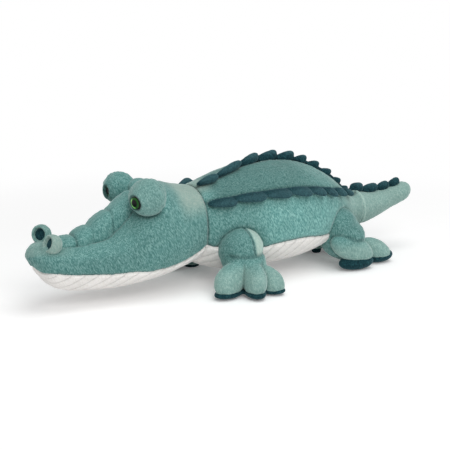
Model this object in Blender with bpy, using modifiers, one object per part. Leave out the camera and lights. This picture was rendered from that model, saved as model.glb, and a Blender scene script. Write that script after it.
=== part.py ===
"""A plush crocodile lying on its feet, nose towards -X, its left side towards -Y.

Stuffed bodies are lofts through oval sections. The head and the tail turn on balls of fabric at their
seams, about upright axes, and each leg swings on a flat ball about an axis across the body.
"""

import math

import bmesh
import bpy
from mathutils import Matrix, Vector

# Clearances
GAP = 0.0003
PIVOT_GAP = 0.0006
OVERRUN = 0.004
MERGE_DISTANCE = 0.000004

# Lengths from the nose tip to the tail tip
HEAD_LENGTH = 0.1595
TORSO_LENGTH = 0.187
TAIL_LENGTH = 0.075
NOSE_X = -(HEAD_LENGTH + TORSO_LENGTH + TAIL_LENGTH) / 2
NECK_X = NOSE_X + HEAD_LENGTH
TAIL_X = NECK_X + TORSO_LENGTH

# Neck ball, whose middle's height gives its own half height and those of the back and the crown
NECK_HEIGHT = 0.058
NECK_RADIUS = 0.0297
NECK_TALL_SHARE = 0.5776
BACK_HEIGHT_SHARE = 1.8621
CROWN_HEIGHT_SHARE = 1.7241
NECK_HALF_HEIGHT = NECK_TALL_SHARE * NECK_HEIGHT
BACK_HEIGHT = BACK_HEIGHT_SHARE * NECK_HEIGHT
CROWN_HEIGHT = CROWN_HEIGHT_SHARE * NECK_HEIGHT

# Torso
TORSO_HALF_WIDTH = 0.048
SEAM_RIM = 0.0015
# Of the torso's length, half width and, three times, back height: belly, widest place and back
TORSO_SHARES = (
    (0.09, 0.79, 0.166, 0.527, 0.861),
    (0.20, 0.92, 0.120, 0.523, 0.931),
    (0.33, 1.00, 0.092, 0.520, 0.997),
    (0.47, 1.00, 0.083, 0.518, 1.000),
    (0.60, 0.94, 0.101, 0.509, 0.968),
    (0.73, 0.79, 0.147, 0.490, 0.880),
    (0.84, 0.62, 0.204, 0.475, 0.764),
    (0.94, 0.43, 0.276, 0.463, 0.620),
)

# Neck and tail turn on balls whose centres lie just inside the torso's rims
PIVOT_DEPTH = 0.0006
NECK_CENTRE = (NECK_X + PIVOT_DEPTH, 0, NECK_HEIGHT)

# Tail and its ball
TAIL_ROOT_HEIGHT = 0.0495
TAIL_ROOT_RADIUS = 0.016
TAIL_TIP_HEIGHT = 0.061
TAIL_TIP_RADIUS = 0.0096
TAIL_TIP_ROUND = 0.012
TAIL_CENTRE = (TAIL_X - PIVOT_DEPTH, 0, TAIL_ROOT_HEIGHT)
# Of the tail's length, then how far the root's height and radius have become the tip's
TAIL_SHARES = (
    (0.10, 0.00, 0.10),
    (0.20, -0.05, 0.21),
    (0.40, 0.12, 0.55),
    (0.53, 0.34, 0.75),
    (0.65, 0.58, 0.87),
    (0.80, 0.84, 0.96),
    (1.00, 1.00, 1.00),
)

# Head
HEAD_HALF_WIDTH = 0.040
NOSE_ROUND = 0.016
HEAD_SQUARENESS = 2.35
# Of the head's length, half width and, three times, crown height: jaw, widest place and top
HEAD_SHARES = (
    (0.000, 0.44, 0.33, 0.48, 0.585),
    (0.070, 0.50, 0.24, 0.47, 0.595),
    (0.195, 0.60, 0.155, 0.43, 0.570),
    (0.320, 0.68, 0.13, 0.41, 0.565),
    (0.446, 0.78, 0.12, 0.42, 0.610),
    (0.571, 0.90, 0.142, 0.48, 0.800),
    (0.697, 1.00, 0.168, 0.53, 0.980),
    (0.800, 0.98, 0.198, 0.55, 0.995),
    (0.916, 0.825, 0.245, 0.565, 0.945),
    (0.960, 0.668, 0.285, 0.575, 0.875),
    (1.000, 0.610, 0.310, 0.58, 0.840),
)

# Cream panels, sunk into the torso and the head
PANEL_THICKNESS = 0.003
RIB_PITCH = 0.0105
RIB_HEIGHT = 0.0014
# Where a rib's sections lie along its pitch, and how far they stand out of the skin
RIB_STEP_SHARES = ((0.0, -0.5), (0.3, 0.4), (0.7, 0.4))
BELLY_START = 0.0087
BELLY_REAR_MARGIN = 0.022
JAW_START = 0.004
# The jaw panel ends in front of the neck seam by what the seam covers when the head turns this far
HEAD_TURN_ROOM = math.radians(16)
# Of a panel's length, and its half angle at the seam as a share of half a turn
BELLY_EDGE_SHARES = ((0.0, 0.35), (0.3, 0.345), (0.55, 0.378), (0.75, 0.35), (0.9, 0.29), (1.0, 0.12))
JAW_EDGE_SHARES = ((0.0, 0.32), (0.1, 0.37), (0.2, 0.395), (0.45, 0.37), (0.7, 0.30), (1.0, 0.33))

# Snout ridge
RIDGE_FRONT = 0.0235
RIDGE_PITCH = 0.0172
RIDGE_SWELLINGS = 4
# Its top over each end, of the crown's height
RIDGE_FRONT_SHARE = 0.545
RIDGE_REAR_SHARE = 0.86
RIDGE_BULGE = 0.004
RIDGE_SIDE_BULGE = 0.001
RIDGE_FRONT_HALF_WIDTH = 0.009
RIDGE_REAR_HALF_WIDTH = 0.013

# Eye domes
DOME_RADIUS = 0.0150
DOME_FROM_NOSE = 0.1012
DOME_APART = 0.0540
DOME_LIFT = 0.0106

# Safety eyes
EYE_RADIUS = 0.006
EYE_BULGE = 0.0036
EYE_RIM = 0.0007
SHANK_RADIUS = 0.0024
SHANK_LENGTH = 0.011
WASHER_RADIUS = 0.007
WASHER_THICKNESS = 0.0012
WASHER_DEPTH = 0.0025
EYE_OUTWARD_ANGLE = math.radians(10)
EYE_DOWNWARD_ANGLE = math.radians(7)

# Nostril loops
NOSTRIL_RADIUS = 0.0088
NOSTRIL_LENGTH = 0.011
NOSTRIL_EDGE = 0.0032
NOSTRIL_BORE = 0.0046
NOSTRIL_DEPTH = 0.0065
NOSTRIL_FROM_NOSE = 0.0195
NOSTRIL_APART = 0.026
NOSTRIL_LIFT = 0.0062
NOSTRIL_INWARD_ANGLE = math.radians(36)
LINING_THICKNESS = 0.0015

# Scutes
SCUTE_THICKNESS = 0.0056
SCUTE_HEIGHT = 0.0092
SCUTE_STRIP_HEIGHT = 0.0022
SCUTE_SIDE_LEAN = math.radians(72)
MIDDLE_ROW_COUNT = 10
SIDE_ROW_COUNT = 8
TAIL_ROW_COUNT = 4
MIDDLE_ROW_START = 0.005
SIDE_ROW_START = 0.003
TAIL_ROW_START = 0.001
# What the rows leave free before the tail seam, and before the rounded tip of the tail
MIDDLE_ROW_MARGIN = 0.007
SIDE_ROW_MARGIN = 0.013
TAIL_ROW_MARGIN = 0.003
TAIL_SCUTE_HEIGHT = 0.0078
# A row's last scute over its first, in length and in height
SCUTE_SHRINK_SHARE = 0.45
TAIL_SHRINK_SHARE = 0.85
# The thickness of the strip between two scutes, of a scute's own
SCUTE_THIN_SHARE = 0.55
# Where a scute's sections lie along it, and what makes it full and round at the rear
SCUTE_STEP_SHARES = (0.0, 0.2, 0.45, 0.7, 0.9)
SCUTE_REARWARD_POWER = 1.5
SCUTE_ROUND_POWER = 0.7
# Of the torso's length, and the side rows' angle from the spine as a share of half a turn
SIDE_ROW_SHARES = (
    (0.00, 0.285),
    (0.10, 0.263),
    (0.25, 0.272),
    (0.45, 0.289),
    (0.62, 0.299),
    (0.74, 0.290),
    (0.84, 0.245),
    (0.93, 0.165),
    (1.00, 0.10),
)

# The flat balls that the legs swing on, and their hinges' places along the torso
FRONT_HIP_ALONG = 0.0282
FRONT_HIP_HEIGHT = 0.041
FRONT_HIP_RADIUS = 0.022
FRONT_HIP_BULGE = 0.024
HIND_HIP_BEFORE_TAIL = 0.0335
HIND_HIP_ALONG = TORSO_LENGTH - HIND_HIP_BEFORE_TAIL
HIND_HIP_HEIGHT = 0.0375
HIND_HIP_RADIUS = 0.0225
HIND_HIP_BULGE = 0.021
HIP_INNER_BULGE = 0.008
HIP_INSET = 0.004

# Feet: three toes in a fan about the heel, which stands behind and outside the hinge
TOE_RADIUS = 0.0115
TOE_HALF_LENGTH = 0.0155
TOE_HALF_HEIGHT = 0.0140
TOE_SLOPE = math.radians(16)
HEEL_ACROSS_SHARE = 0.8
FRONT_HEEL_RADIUS = 0.0185
FRONT_HEEL_HALF_HEIGHT = 0.021
FRONT_HEEL_ALONG = 0.0015
FRONT_HEEL_OUT = 0.0115
FRONT_TOE_REACH = 0.0150
FRONT_FOOT_TURN = math.radians(75)
FRONT_TOE_SPREAD = math.radians(62)
HIND_HEEL_RADIUS = 0.017
HIND_HEEL_HALF_HEIGHT = 0.013
HIND_HEEL_ALONG = 0.0095
HIND_HEEL_OUT = -0.001
HIND_TOE_REACH = 0.0185
HIND_FOOT_TURN = math.radians(165)
HIND_TOE_SPREAD = math.radians(26)
# The reach of each toe of a foot, from the one nearest the nose
FRONT_TOE_SHARES = (1.4, 0.8, 1.3)
HIND_TOE_SHARES = (0.6, 1.42, 1.05)
SOLE_THICKNESS = 0.005
SOLE_INSET = 0.0015
SOLE_EDGE = 0.0015

# Fineness of the meshes
BODY_SIDES = 24
BODY_RINGS = 18
BALL_SEGMENTS = 12
BALL_RINGS = 8
PIVOT_SEGMENTS = 20
PANEL_COLUMNS = 6
TURN_STEPS = 16
RIDGE_STEPS = 4
EDGE_STEPS = 4
SCUTE_SIDES = 6
SMALL_TURN = math.radians(1)

# Colours: red, green, blue and roughness
TEAL = (0.16, 0.34, 0.32, 0.95)
DARK_TEAL = (0.02, 0.07, 0.09, 0.85)
CREAM = (0.80, 0.76, 0.70, 0.95)
EYE_PLASTIC = (0.02, 0.03, 0.02, 0.10)
WASHER_PLASTIC = (0.85, 0.85, 0.82, 0.50)

LEFT, RIGHT = -1, 1
SIDE_NAMES = {LEFT: "left", RIGHT: "right"}


def clear_scene():
    for obj in list(bpy.data.objects):
        bpy.data.objects.remove(obj, do_unlink=True)


def new_collection(name):
    collection = bpy.data.collections.new(name)
    bpy.context.scene.collection.children.link(collection)
    return collection


def new_material(name, look):
    material = bpy.data.materials.new(name)
    material.use_nodes = True
    shader = material.node_tree.nodes["Principled BSDF"]
    shader.inputs["Base Color"].default_value = (*look[:3], 1.0)
    shader.inputs["Roughness"].default_value = look[3]
    shader.inputs["Metallic"].default_value = 0.0
    return material


def smooth_between(table, at, column):
    """The table's column at this share, on a smooth curve through its rows."""
    rows = [row for row in table]
    places = [row[0] for row in rows]
    values = [row[column] for row in rows]
    last = len(rows) - 1
    at = min(max(at, places[0]), places[-1])
    index = max(i for i in range(last) if places[i] <= at)

    def slope(i):
        before = max(i - 1, 0)
        after = min(i + 1, last)
        return (values[after] - values[before]) / (places[after] - places[before])

    width = places[index + 1] - places[index]
    t = (at - places[index]) / width
    start = (1 + 2 * t) * (1 - t) ** 2 * values[index] + t * (1 - t) ** 2 * width * slope(index)
    end = t**2 * (3 - 2 * t) * values[index + 1] - t**2 * (1 - t) * width * slope(index + 1)
    return start + end


class Stuffed:
    """A stuffed body of oval sections along X, each with its half width, bottom, widest place and top."""

    def __init__(self, start, table, round_start=0.0, round_end=0.0, squareness=2.0):
        self.start = start
        self.table = table
        self.power = 2 / squareness
        self.length = table[-1][0]
        self.round_start = round_start
        self.round_end = round_end

    def fullness(self, along):
        """How much of its full section a rounded end has here, from 0 at the tip to 1."""
        full = 1.0
        for distance, length in ((along, self.round_start), (self.length - along, self.round_end)):
            if distance < length:
                full *= math.sqrt(max(0.0, 1 - (1 - distance / length) ** 2))
        return full

    def section(self, along):
        full = self.fullness(along)
        half, low, middle, high = (smooth_between(self.table, along, column) for column in range(1, 5))
        return half * full, middle - (middle - low) * full, middle, middle + (high - middle) * full

    def point(self, along, angle, outward=0.0):
        """A point of the skin. The angle is 0 at the top and grows towards the right side."""
        half, low, middle, high = self.section(along)
        across = math.copysign(abs(math.sin(angle)) ** self.power, math.sin(angle))
        up = math.copysign(abs(math.cos(angle)) ** self.power, math.cos(angle))
        reach = high - middle if up > 0 else middle - low
        return Vector((self.start + along, (half + outward) * across, middle + (reach + outward) * up))

    def top_at(self, along, across):
        """The height of the skin's upper side at this distance from the middle plane."""
        half, _, middle, high = self.section(along)
        return middle + (high - middle) * (1 - (across / half) ** (2 / self.power)) ** (self.power / 2)

    def rings(self, count):
        """Places along the body, closer together at rounded ends."""
        places = []
        for i in range(count + 1):
            share = i / count
            if self.round_start and self.round_end:
                share = (1 - math.cos(math.pi * share)) / 2
            elif self.round_start:
                share = 1 - math.sin(math.pi / 2 * (1 - share))
            elif self.round_end:
                share = math.sin(math.pi / 2 * share)
            places.append(share * self.length)
        return places


def torso_body():
    neck = (
        0.0,
        NECK_RADIUS + SEAM_RIM,
        NECK_HEIGHT - NECK_HALF_HEIGHT - SEAM_RIM,
        NECK_HEIGHT,
        NECK_HEIGHT + NECK_HALF_HEIGHT + SEAM_RIM,
    )
    root = (
        TORSO_LENGTH,
        TAIL_ROOT_RADIUS + SEAM_RIM,
        TAIL_ROOT_HEIGHT - TAIL_ROOT_RADIUS - SEAM_RIM,
        TAIL_ROOT_HEIGHT,
        TAIL_ROOT_HEIGHT + TAIL_ROOT_RADIUS + SEAM_RIM,
    )
    rows = [
        (along * TORSO_LENGTH, half * TORSO_HALF_WIDTH, *(share * BACK_HEIGHT for share in heights))
        for along, half, *heights in TORSO_SHARES
    ]
    return Stuffed(NECK_X, [neck, *rows, root])


def head_body():
    rows = [
        (along * HEAD_LENGTH, half * HEAD_HALF_WIDTH, *(share * CROWN_HEIGHT for share in heights))
        for along, half, *heights in HEAD_SHARES
    ]
    return Stuffed(NOSE_X, rows, round_start=NOSE_ROUND, squareness=HEAD_SQUARENESS)


def tail_body():
    rows = []
    for along, height_share, radius_share in TAIL_SHARES:
        height = TAIL_ROOT_HEIGHT + (TAIL_TIP_HEIGHT - TAIL_ROOT_HEIGHT) * height_share
        radius = TAIL_ROOT_RADIUS + (TAIL_TIP_RADIUS - TAIL_ROOT_RADIUS) * radius_share
        rows.append((along * TAIL_LENGTH, radius, height - radius, height, height + radius))
    inner = (0.0, *(rows[0][1:]))
    return Stuffed(TAIL_X, [inner, *rows], round_end=TAIL_TIP_ROUND)


def new_object(name, mesh, collection, material=None):
    obj = bpy.data.objects.new(name, mesh)
    collection.objects.link(obj)
    if material:
        mesh.materials.append(material)
        mesh.shade_smooth()
        mesh.set_sharp_from_angle(angle=math.radians(50))
    else:
        obj.hide_render = True
        obj.display_type = "WIRE"
    return obj


def mesh_from(name, grid, plate=False):
    """A closed skin over rings of points. Its ends are fans, or strips of quads on a curved plate."""
    shape = bmesh.new()
    rings = [[shape.verts.new(point) for point in ring] for ring in grid]
    for one, two in zip(rings, rings[1:]):
        for i in range(len(one)):
            j = (i + 1) % len(one)
            shape.faces.new((one[i], one[j], two[j], two[i]))
    for ring in (rings[0], rings[-1]):
        if plate:
            for i in range(len(ring) // 2 - 1):
                shape.faces.new((ring[i], ring[i + 1], ring[-2 - i], ring[-1 - i]))
            continue
        centre = shape.verts.new(sum((v.co for v in ring), Vector()) / len(ring))
        for i in range(len(ring)):
            shape.faces.new((ring[i], ring[(i + 1) % len(ring)], centre))
    bmesh.ops.remove_doubles(shape, verts=shape.verts, dist=MERGE_DISTANCE)
    bmesh.ops.recalc_face_normals(shape, faces=shape.faces)
    mesh = bpy.data.meshes.new(name)
    shape.to_mesh(mesh)
    shape.free()
    return mesh


def loft_mesh(name, body, outward=0.0):
    grid = []
    for along in body.rings(BODY_RINGS):
        grid.append([
            body.point(along, 2 * math.pi * i / BODY_SIDES, outward * body.fullness(along))
            for i in range(BODY_SIDES)
        ])
    return mesh_from(name, grid)


def ball_mesh(name, centre, radii, segments=BALL_SEGMENTS, rings=BALL_RINGS, turn=None):
    """An ellipsoid. Its poles are on its own Z before the turn."""
    shape = bmesh.new()
    bmesh.ops.create_uvsphere(shape, u_segments=segments, v_segments=rings, radius=1)
    bmesh.ops.scale(shape, vec=radii, verts=shape.verts)
    if turn:
        bmesh.ops.transform(shape, matrix=turn, verts=shape.verts)
    bmesh.ops.translate(shape, vec=centre, verts=shape.verts)
    mesh = bpy.data.meshes.new(name)
    shape.to_mesh(mesh)
    shape.free()
    return mesh


def cylinder_mesh(name, radius, bottom, top):
    """A cylinder about its own Z."""
    shape = bmesh.new()
    bmesh.ops.create_cone(
        shape, cap_ends=True, segments=TURN_STEPS, radius1=radius, radius2=radius, depth=top - bottom
    )
    bmesh.ops.translate(shape, vec=(0, 0, (bottom + top) / 2), verts=shape.verts)
    mesh = bpy.data.meshes.new(name)
    shape.to_mesh(mesh)
    shape.free()
    return mesh


def add_boolean(obj, other, operation):
    modifier = obj.modifiers.new(f"{operation.lower()} {other.name}", "BOOLEAN")
    modifier.operation = operation
    modifier.solver = "EXACT"
    modifier.object = other


def cut(obj, cutter):
    add_boolean(obj, cutter, "DIFFERENCE")


def join(obj, other):
    add_boolean(obj, other, "UNION")


def panel_mesh(name, body, first, last, edge_shares, outer, inner, margin=0.0, ribbed=False):
    """A curved plate under a body, between its skin pushed out by outer and drawn in by inner."""
    length = last - first
    count = round(length / RIB_PITCH)
    pitch = length / count
    rib_height = RIB_HEIGHT if ribbed else 0
    places = [
        (first + (rib + share) * pitch, height * rib_height)
        for rib in range(count)
        for share, height in RIB_STEP_SHARES
    ]
    places.append((last, RIB_STEP_SHARES[0][1] * rib_height))
    grid = []
    for along, swell in places:
        share = (along - first) / length
        half_angle = math.pi * smooth_between(edge_shares, share, 1)
        half_angle += margin / max(body.section(along)[0], NECK_RADIUS / 2)
        angles = [math.pi + half_angle * (2 * i / PANEL_COLUMNS - 1) for i in range(PANEL_COLUMNS + 1)]
        ring = [body.point(along, angle, outer + swell) for angle in angles]
        ring += [body.point(along, angle, -inner) for angle in reversed(angles)]
        grid.append(ring)
    return mesh_from(name, grid, plate=True)


def scute_row_mesh(name, body, first, last, count, shrink_share, height, angle_at, lean):
    """A strip of padded scutes, each a lobe that is fullest behind its middle."""
    weights = [1 + (shrink_share - 1) * k / (count - 1) for k in range(count)]
    unit = (last - first) / sum(weights)
    places = []
    for k in range(count):
        start = first + unit * sum(weights[:k])
        for share in SCUTE_STEP_SHARES:
            swell = math.sin(math.pi * share**SCUTE_REARWARD_POWER) ** SCUTE_ROUND_POWER
            places.append((start + unit * weights[k] * share, weights[k] * swell))
    places.append((last, 0.0))
    grid = []
    for along, swell in places:
        angle = angle_at(along)
        seat = body.point(along, angle)
        across = (body.point(along, angle + SMALL_TURN) - body.point(along, angle - SMALL_TURN)).normalized()
        step = SCUTE_THICKNESS * SMALL_TURN
        forward = (body.point(along + step, angle) - body.point(along - step, angle)).normalized()
        normal = forward.cross(across).normalized()
        down = across if angle > 0 else -across
        stand = normal * math.cos(lean) + down * math.sin(lean)
        thick = down * math.cos(lean) - normal * math.sin(lean)
        half_tall = (SCUTE_STRIP_HEIGHT + (height - SCUTE_STRIP_HEIGHT) * swell) / 2
        half_thick = SCUTE_THICKNESS / 2 * (SCUTE_THIN_SHARE + (1 - SCUTE_THIN_SHARE) * swell)
        middle = seat + normal * (2 * GAP + half_thick * math.sin(lean)) + stand * half_tall
        ring = []
        for i in range(SCUTE_SIDES):
            turn = 2 * math.pi * i / SCUTE_SIDES
            ring.append(middle + stand * half_tall * math.cos(turn) + thick * half_thick * math.sin(turn))
        grid.append(ring)
    return mesh_from(name, grid)


def pivot_ball(name, centre, radius, half_height, grow, collection):
    """The ball of an upright pivot, turned about Z, with no corner in the plane of its seam."""
    radii = (radius + grow, radius + grow, half_height + grow)
    half_facet = Matrix.Rotation(math.pi / PIVOT_SEGMENTS, 4, "Z")
    mesh = ball_mesh(name, centre, radii, PIVOT_SEGMENTS, PIVOT_SEGMENTS // 2, half_facet)
    return new_object(name, mesh, collection)


def hip_ball_mesh(name, centre, radius, inner, outer, grow=0.0):
    """A flat ball turned about Y, with unlike depths towards the body and away from it."""
    turn = Matrix.Rotation(math.pi / 2, 4, "X")
    mesh = ball_mesh(name, (0, 0, 0), (1, 1, 1), PIVOT_SEGMENTS, PIVOT_SEGMENTS // 2, turn)
    for vertex in mesh.vertices:
        towards_body = vertex.co.y * centre.y < 0
        depth = inner if towards_body else outer
        vertex.co = Vector((
            centre.x + (radius + grow) * vertex.co.x,
            centre.y + (depth + grow) * vertex.co.y,
            centre.z + (radius + grow) * vertex.co.z,
        ))
    return mesh


def make_torso(parts, cutters, teal, cream):
    body = torso_body()
    torso = new_object("torso", loft_mesh("torso", body), parts, teal)
    first = BELLY_START
    last = TORSO_LENGTH - BELLY_REAR_MARGIN
    panel_args = (body, first, last, BELLY_EDGE_SHARES)
    mesh = panel_mesh("belly_panel", *panel_args, outer=0.0, inner=PANEL_THICKNESS, ribbed=True)
    panel = new_object("belly_panel", mesh, parts, cream)
    mesh = panel_mesh(
        "belly_pocket",
        body,
        first - GAP,
        last + GAP,
        BELLY_EDGE_SHARES,
        outer=OVERRUN,
        inner=PANEL_THICKNESS + GAP,
        margin=GAP,
    )
    cut(torso, new_object("belly_pocket", mesh, cutters))
    sockets = (
        ("neck", NECK_CENTRE, NECK_RADIUS, NECK_HALF_HEIGHT),
        ("tail", TAIL_CENTRE, TAIL_ROOT_RADIUS, TAIL_ROOT_RADIUS),
    )
    for name, centre, radius, half_height in sockets:
        cut(torso, pivot_ball(f"{name}_socket", centre, radius, half_height, PIVOT_GAP, cutters))
    return torso, panel


def make_head(parts, cutters, teal, cream):
    body = head_body()
    head = new_object("head", loft_mesh("head", body), parts, teal)
    join(head, pivot_ball("neck_ball", NECK_CENTRE, NECK_RADIUS, NECK_HALF_HEIGHT, 0.0, cutters))
    last = HEAD_LENGTH - NECK_RADIUS * math.sin(HEAD_TURN_ROOM)
    mesh = panel_mesh(
        "jaw_panel", body, JAW_START, last, JAW_EDGE_SHARES, outer=0.0, inner=PANEL_THICKNESS, ribbed=True
    )
    new_object("jaw_panel", mesh, parts, cream)
    mesh = panel_mesh(
        "jaw_pocket",
        body,
        JAW_START - GAP,
        last + GAP,
        JAW_EDGE_SHARES,
        outer=OVERRUN,
        inner=PANEL_THICKNESS + GAP,
        margin=GAP,
    )
    cut(head, new_object("jaw_pocket", mesh, cutters))
    grown = new_object("head_grown", loft_mesh("head_grown", body, GAP), cutters)
    return body, grown


def make_snout_ridge(parts, cutters, teal, body, head_grown):
    length = RIDGE_PITCH * RIDGE_SWELLINGS
    count = RIDGE_SWELLINGS * RIDGE_STEPS
    grid = []
    for k in range(count + 1):
        share = k / count
        swell = math.sin(math.pi * (k % RIDGE_STEPS) / RIDGE_STEPS)
        along = RIDGE_FRONT + length * share
        half = RIDGE_FRONT_HALF_WIDTH + (RIDGE_REAR_HALF_WIDTH - RIDGE_FRONT_HALF_WIDTH) * share
        half += RIDGE_SIDE_BULGE * swell
        top = CROWN_HEIGHT * (RIDGE_FRONT_SHARE + (RIDGE_REAR_SHARE - RIDGE_FRONT_SHARE) * share)
        top += RIDGE_BULGE * swell
        middle = body.section(along)[3] - half / 2
        reach = max(top - middle, half)
        ring = []
        for i in range(BALL_SEGMENTS):
            turn = 2 * math.pi * i / BALL_SEGMENTS
            up = reach if math.cos(turn) > 0 else half / 2
            ring.append(Vector((NOSE_X + along, half * math.sin(turn), middle + up * math.cos(turn))))
        grid.append(ring)
    ridge = new_object("snout_ridge", mesh_from("snout_ridge", grid), parts, teal)
    cut(ridge, head_grown)
    return ridge


def eye_frame(side):
    """The matrix whose Z is the way that an eye looks, at the centre of its dome."""
    centre = dome_centre(side)
    turn = Matrix.Rotation(side * (math.pi - EYE_OUTWARD_ANGLE), 4, "Z")
    tilt = Matrix.Rotation(math.pi / 2 + EYE_DOWNWARD_ANGLE, 4, "Y")
    return Matrix.Translation(centre) @ turn @ tilt


def dome_centre(side):
    surface = head_body().top_at(DOME_FROM_NOSE, DOME_APART / 2)
    return Vector((NOSE_X + DOME_FROM_NOSE, side * DOME_APART / 2, surface + DOME_LIFT))


def eye_seat():
    """How far an eye's flat back lies from the centre of its dome, less the gap."""
    return math.sqrt(DOME_RADIUS**2 - EYE_RADIUS**2)


def turned(name, profile, matrix, collection, material):
    """A solid turned about its own Z from a profile that runs down its outer side."""
    mesh = bpy.data.meshes.new(name)
    edges = [(i, i + 1) for i in range(len(profile) - 1)]
    if profile[0][0] > 0:
        edges.append((len(profile) - 1, 0))
    mesh.from_pydata([(radius, 0, height) for radius, height in profile], edges, [])
    obj = new_object(name, mesh, collection, material)
    screw = obj.modifiers.new("turn", "SCREW")
    screw.steps = TURN_STEPS
    screw.render_steps = TURN_STEPS
    screw.use_merge_vertices = True
    screw.merge_threshold = MERGE_DISTANCE
    obj.matrix_world = matrix
    return obj


def make_eye_dome(side, parts, cutters, teal, head_grown, ridge):
    name = f"eye_dome_{SIDE_NAMES[side]}"
    centre = dome_centre(side)
    mesh = ball_mesh(name, centre, (DOME_RADIUS,) * 3, PIVOT_SEGMENTS, PIVOT_SEGMENTS // 2)
    dome = new_object(name, mesh, parts, teal)
    cut(dome, head_grown)
    grown = ball_mesh(f"{name}_grown", centre, (DOME_RADIUS + GAP,) * 3, PIVOT_SEGMENTS, PIVOT_SEGMENTS // 2)
    cut(ridge, new_object(f"{name}_grown", grown, cutters))
    frame = eye_frame(side)
    seat = eye_seat()
    pockets = (
        ("seat", EYE_RADIUS + GAP, seat, DOME_RADIUS + OVERRUN),
        ("bore", SHANK_RADIUS + GAP, seat - SHANK_LENGTH - GAP, DOME_RADIUS + OVERRUN),
        (
            "washer",
            WASHER_RADIUS + GAP,
            seat - WASHER_DEPTH - WASHER_THICKNESS - GAP,
            seat - WASHER_DEPTH + GAP,
        ),
    )
    for kind, radius, bottom, top in pockets:
        pocket = new_object(f"{name}_{kind}", cylinder_mesh(kind, radius, bottom, top), cutters)
        pocket.matrix_world = frame
        cut(dome, pocket)
    return dome


def make_eye(side, parts, plastic, washer_plastic):
    frame = eye_frame(side)
    base = eye_seat() + GAP
    profile = []
    for i in range(EDGE_STEPS + 1):
        turn = math.pi / 2 * i / EDGE_STEPS
        height = base + EYE_RIM + EYE_BULGE * math.cos(turn)
        profile.append((EYE_RADIUS * math.sin(turn), height))
    profile.append((EYE_RADIUS, base))
    profile.append((SHANK_RADIUS, base))
    profile.append((SHANK_RADIUS, base - SHANK_LENGTH))
    profile.append((0, base - SHANK_LENGTH))
    turned(f"eye_{SIDE_NAMES[side]}", profile, frame, parts, plastic)
    top = eye_seat() - WASHER_DEPTH
    bottom = top - WASHER_THICKNESS
    hole = SHANK_RADIUS + GAP
    profile = [(hole, top), (WASHER_RADIUS, top), (WASHER_RADIUS, bottom), (hole, bottom)]
    turned(f"eye_washer_{SIDE_NAMES[side]}", profile, frame, parts, washer_plastic)


def make_nostril(side, parts, cutters, teal, dark, body, head_grown, ridge):
    surface = body.top_at(NOSTRIL_FROM_NOSE, NOSTRIL_APART / 2)
    centre = Vector((NOSE_X + NOSTRIL_FROM_NOSE, side * NOSTRIL_APART / 2, surface + NOSTRIL_LIFT))
    turn = Matrix.Rotation(side * (math.pi + NOSTRIL_INWARD_ANGLE), 4, "Z")
    frame = Matrix.Translation(centre) @ turn @ Matrix.Rotation(math.pi / 2, 4, "Y")
    name = f"nostril_{SIDE_NAMES[side]}"
    profile = []
    for k in range(2 * EDGE_STEPS):
        angle = math.pi * k / (2 * EDGE_STEPS - 1)
        radius = NOSTRIL_RADIUS - NOSTRIL_EDGE * (1 - math.sin(angle))
        inner = NOSTRIL_LENGTH / 2 - NOSTRIL_EDGE
        height = math.copysign(inner, math.cos(angle)) + NOSTRIL_EDGE * math.cos(angle)
        profile.append((radius, height))
    profile = [(0, NOSTRIL_LENGTH / 2), *profile, (0, -NOSTRIL_LENGTH / 2)]
    nostril = turned(name, profile, frame, parts, teal)
    floor = NOSTRIL_LENGTH / 2 - NOSTRIL_DEPTH
    bore = cylinder_mesh(f"{name}_bore", NOSTRIL_BORE, floor, NOSTRIL_LENGTH / 2 + OVERRUN)
    bore = new_object(f"{name}_bore", bore, cutters)
    bore.matrix_world = frame
    cut(nostril, bore)
    cut(nostril, head_grown)
    grown = cylinder_mesh(
        f"{name}_grown", NOSTRIL_RADIUS + GAP, -NOSTRIL_LENGTH / 2 - GAP, NOSTRIL_LENGTH / 2 + GAP
    )
    grown = new_object(f"{name}_grown", grown, cutters)
    grown.matrix_world = frame
    cut(ridge, grown)
    lining = f"nostril_lining_{SIDE_NAMES[side]}"
    mesh = cylinder_mesh(lining, NOSTRIL_BORE - GAP, floor + GAP, floor + GAP + LINING_THICKNESS)
    lining = new_object(lining, mesh, parts, dark)
    lining.matrix_world = frame


def make_scute_rows(parts, dark):
    torso = torso_body()

    def side_angle(along):
        return math.pi * smooth_between(SIDE_ROW_SHARES, along / TORSO_LENGTH, 1)

    last = TORSO_LENGTH - MIDDLE_ROW_MARGIN
    mesh = scute_row_mesh(
        "scute_row_middle", torso, MIDDLE_ROW_START, last, MIDDLE_ROW_COUNT, SCUTE_SHRINK_SHARE,
        SCUTE_HEIGHT, lambda along: 0.0, 0.0,
    )
    new_object("scute_row_middle", mesh, parts, dark)
    for side in (LEFT, RIGHT):
        name = f"scute_row_{SIDE_NAMES[side]}"
        last = TORSO_LENGTH - SIDE_ROW_MARGIN
        mesh = scute_row_mesh(
            name, torso, SIDE_ROW_START, last, SIDE_ROW_COUNT, SCUTE_SHRINK_SHARE,
            SCUTE_HEIGHT, lambda along, side=side: side * side_angle(along), SCUTE_SIDE_LEAN,
        )
        new_object(name, mesh, parts, dark)


def make_tail(parts, cutters, teal, dark):
    body = tail_body()
    tail = new_object("tail", loft_mesh("tail", body), parts, teal)
    join(tail, pivot_ball("tail_ball", TAIL_CENTRE, TAIL_ROOT_RADIUS, TAIL_ROOT_RADIUS, 0.0, cutters))
    last = TAIL_LENGTH - TAIL_TIP_ROUND - TAIL_ROW_MARGIN
    mesh = scute_row_mesh(
        "tail_scute_row", body, TAIL_ROW_START, last, TAIL_ROW_COUNT, TAIL_SHRINK_SHARE,
        TAIL_SCUTE_HEIGHT, lambda along: 0.0, 0.0,
    )
    new_object("tail_scute_row", mesh, parts, dark)


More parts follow.
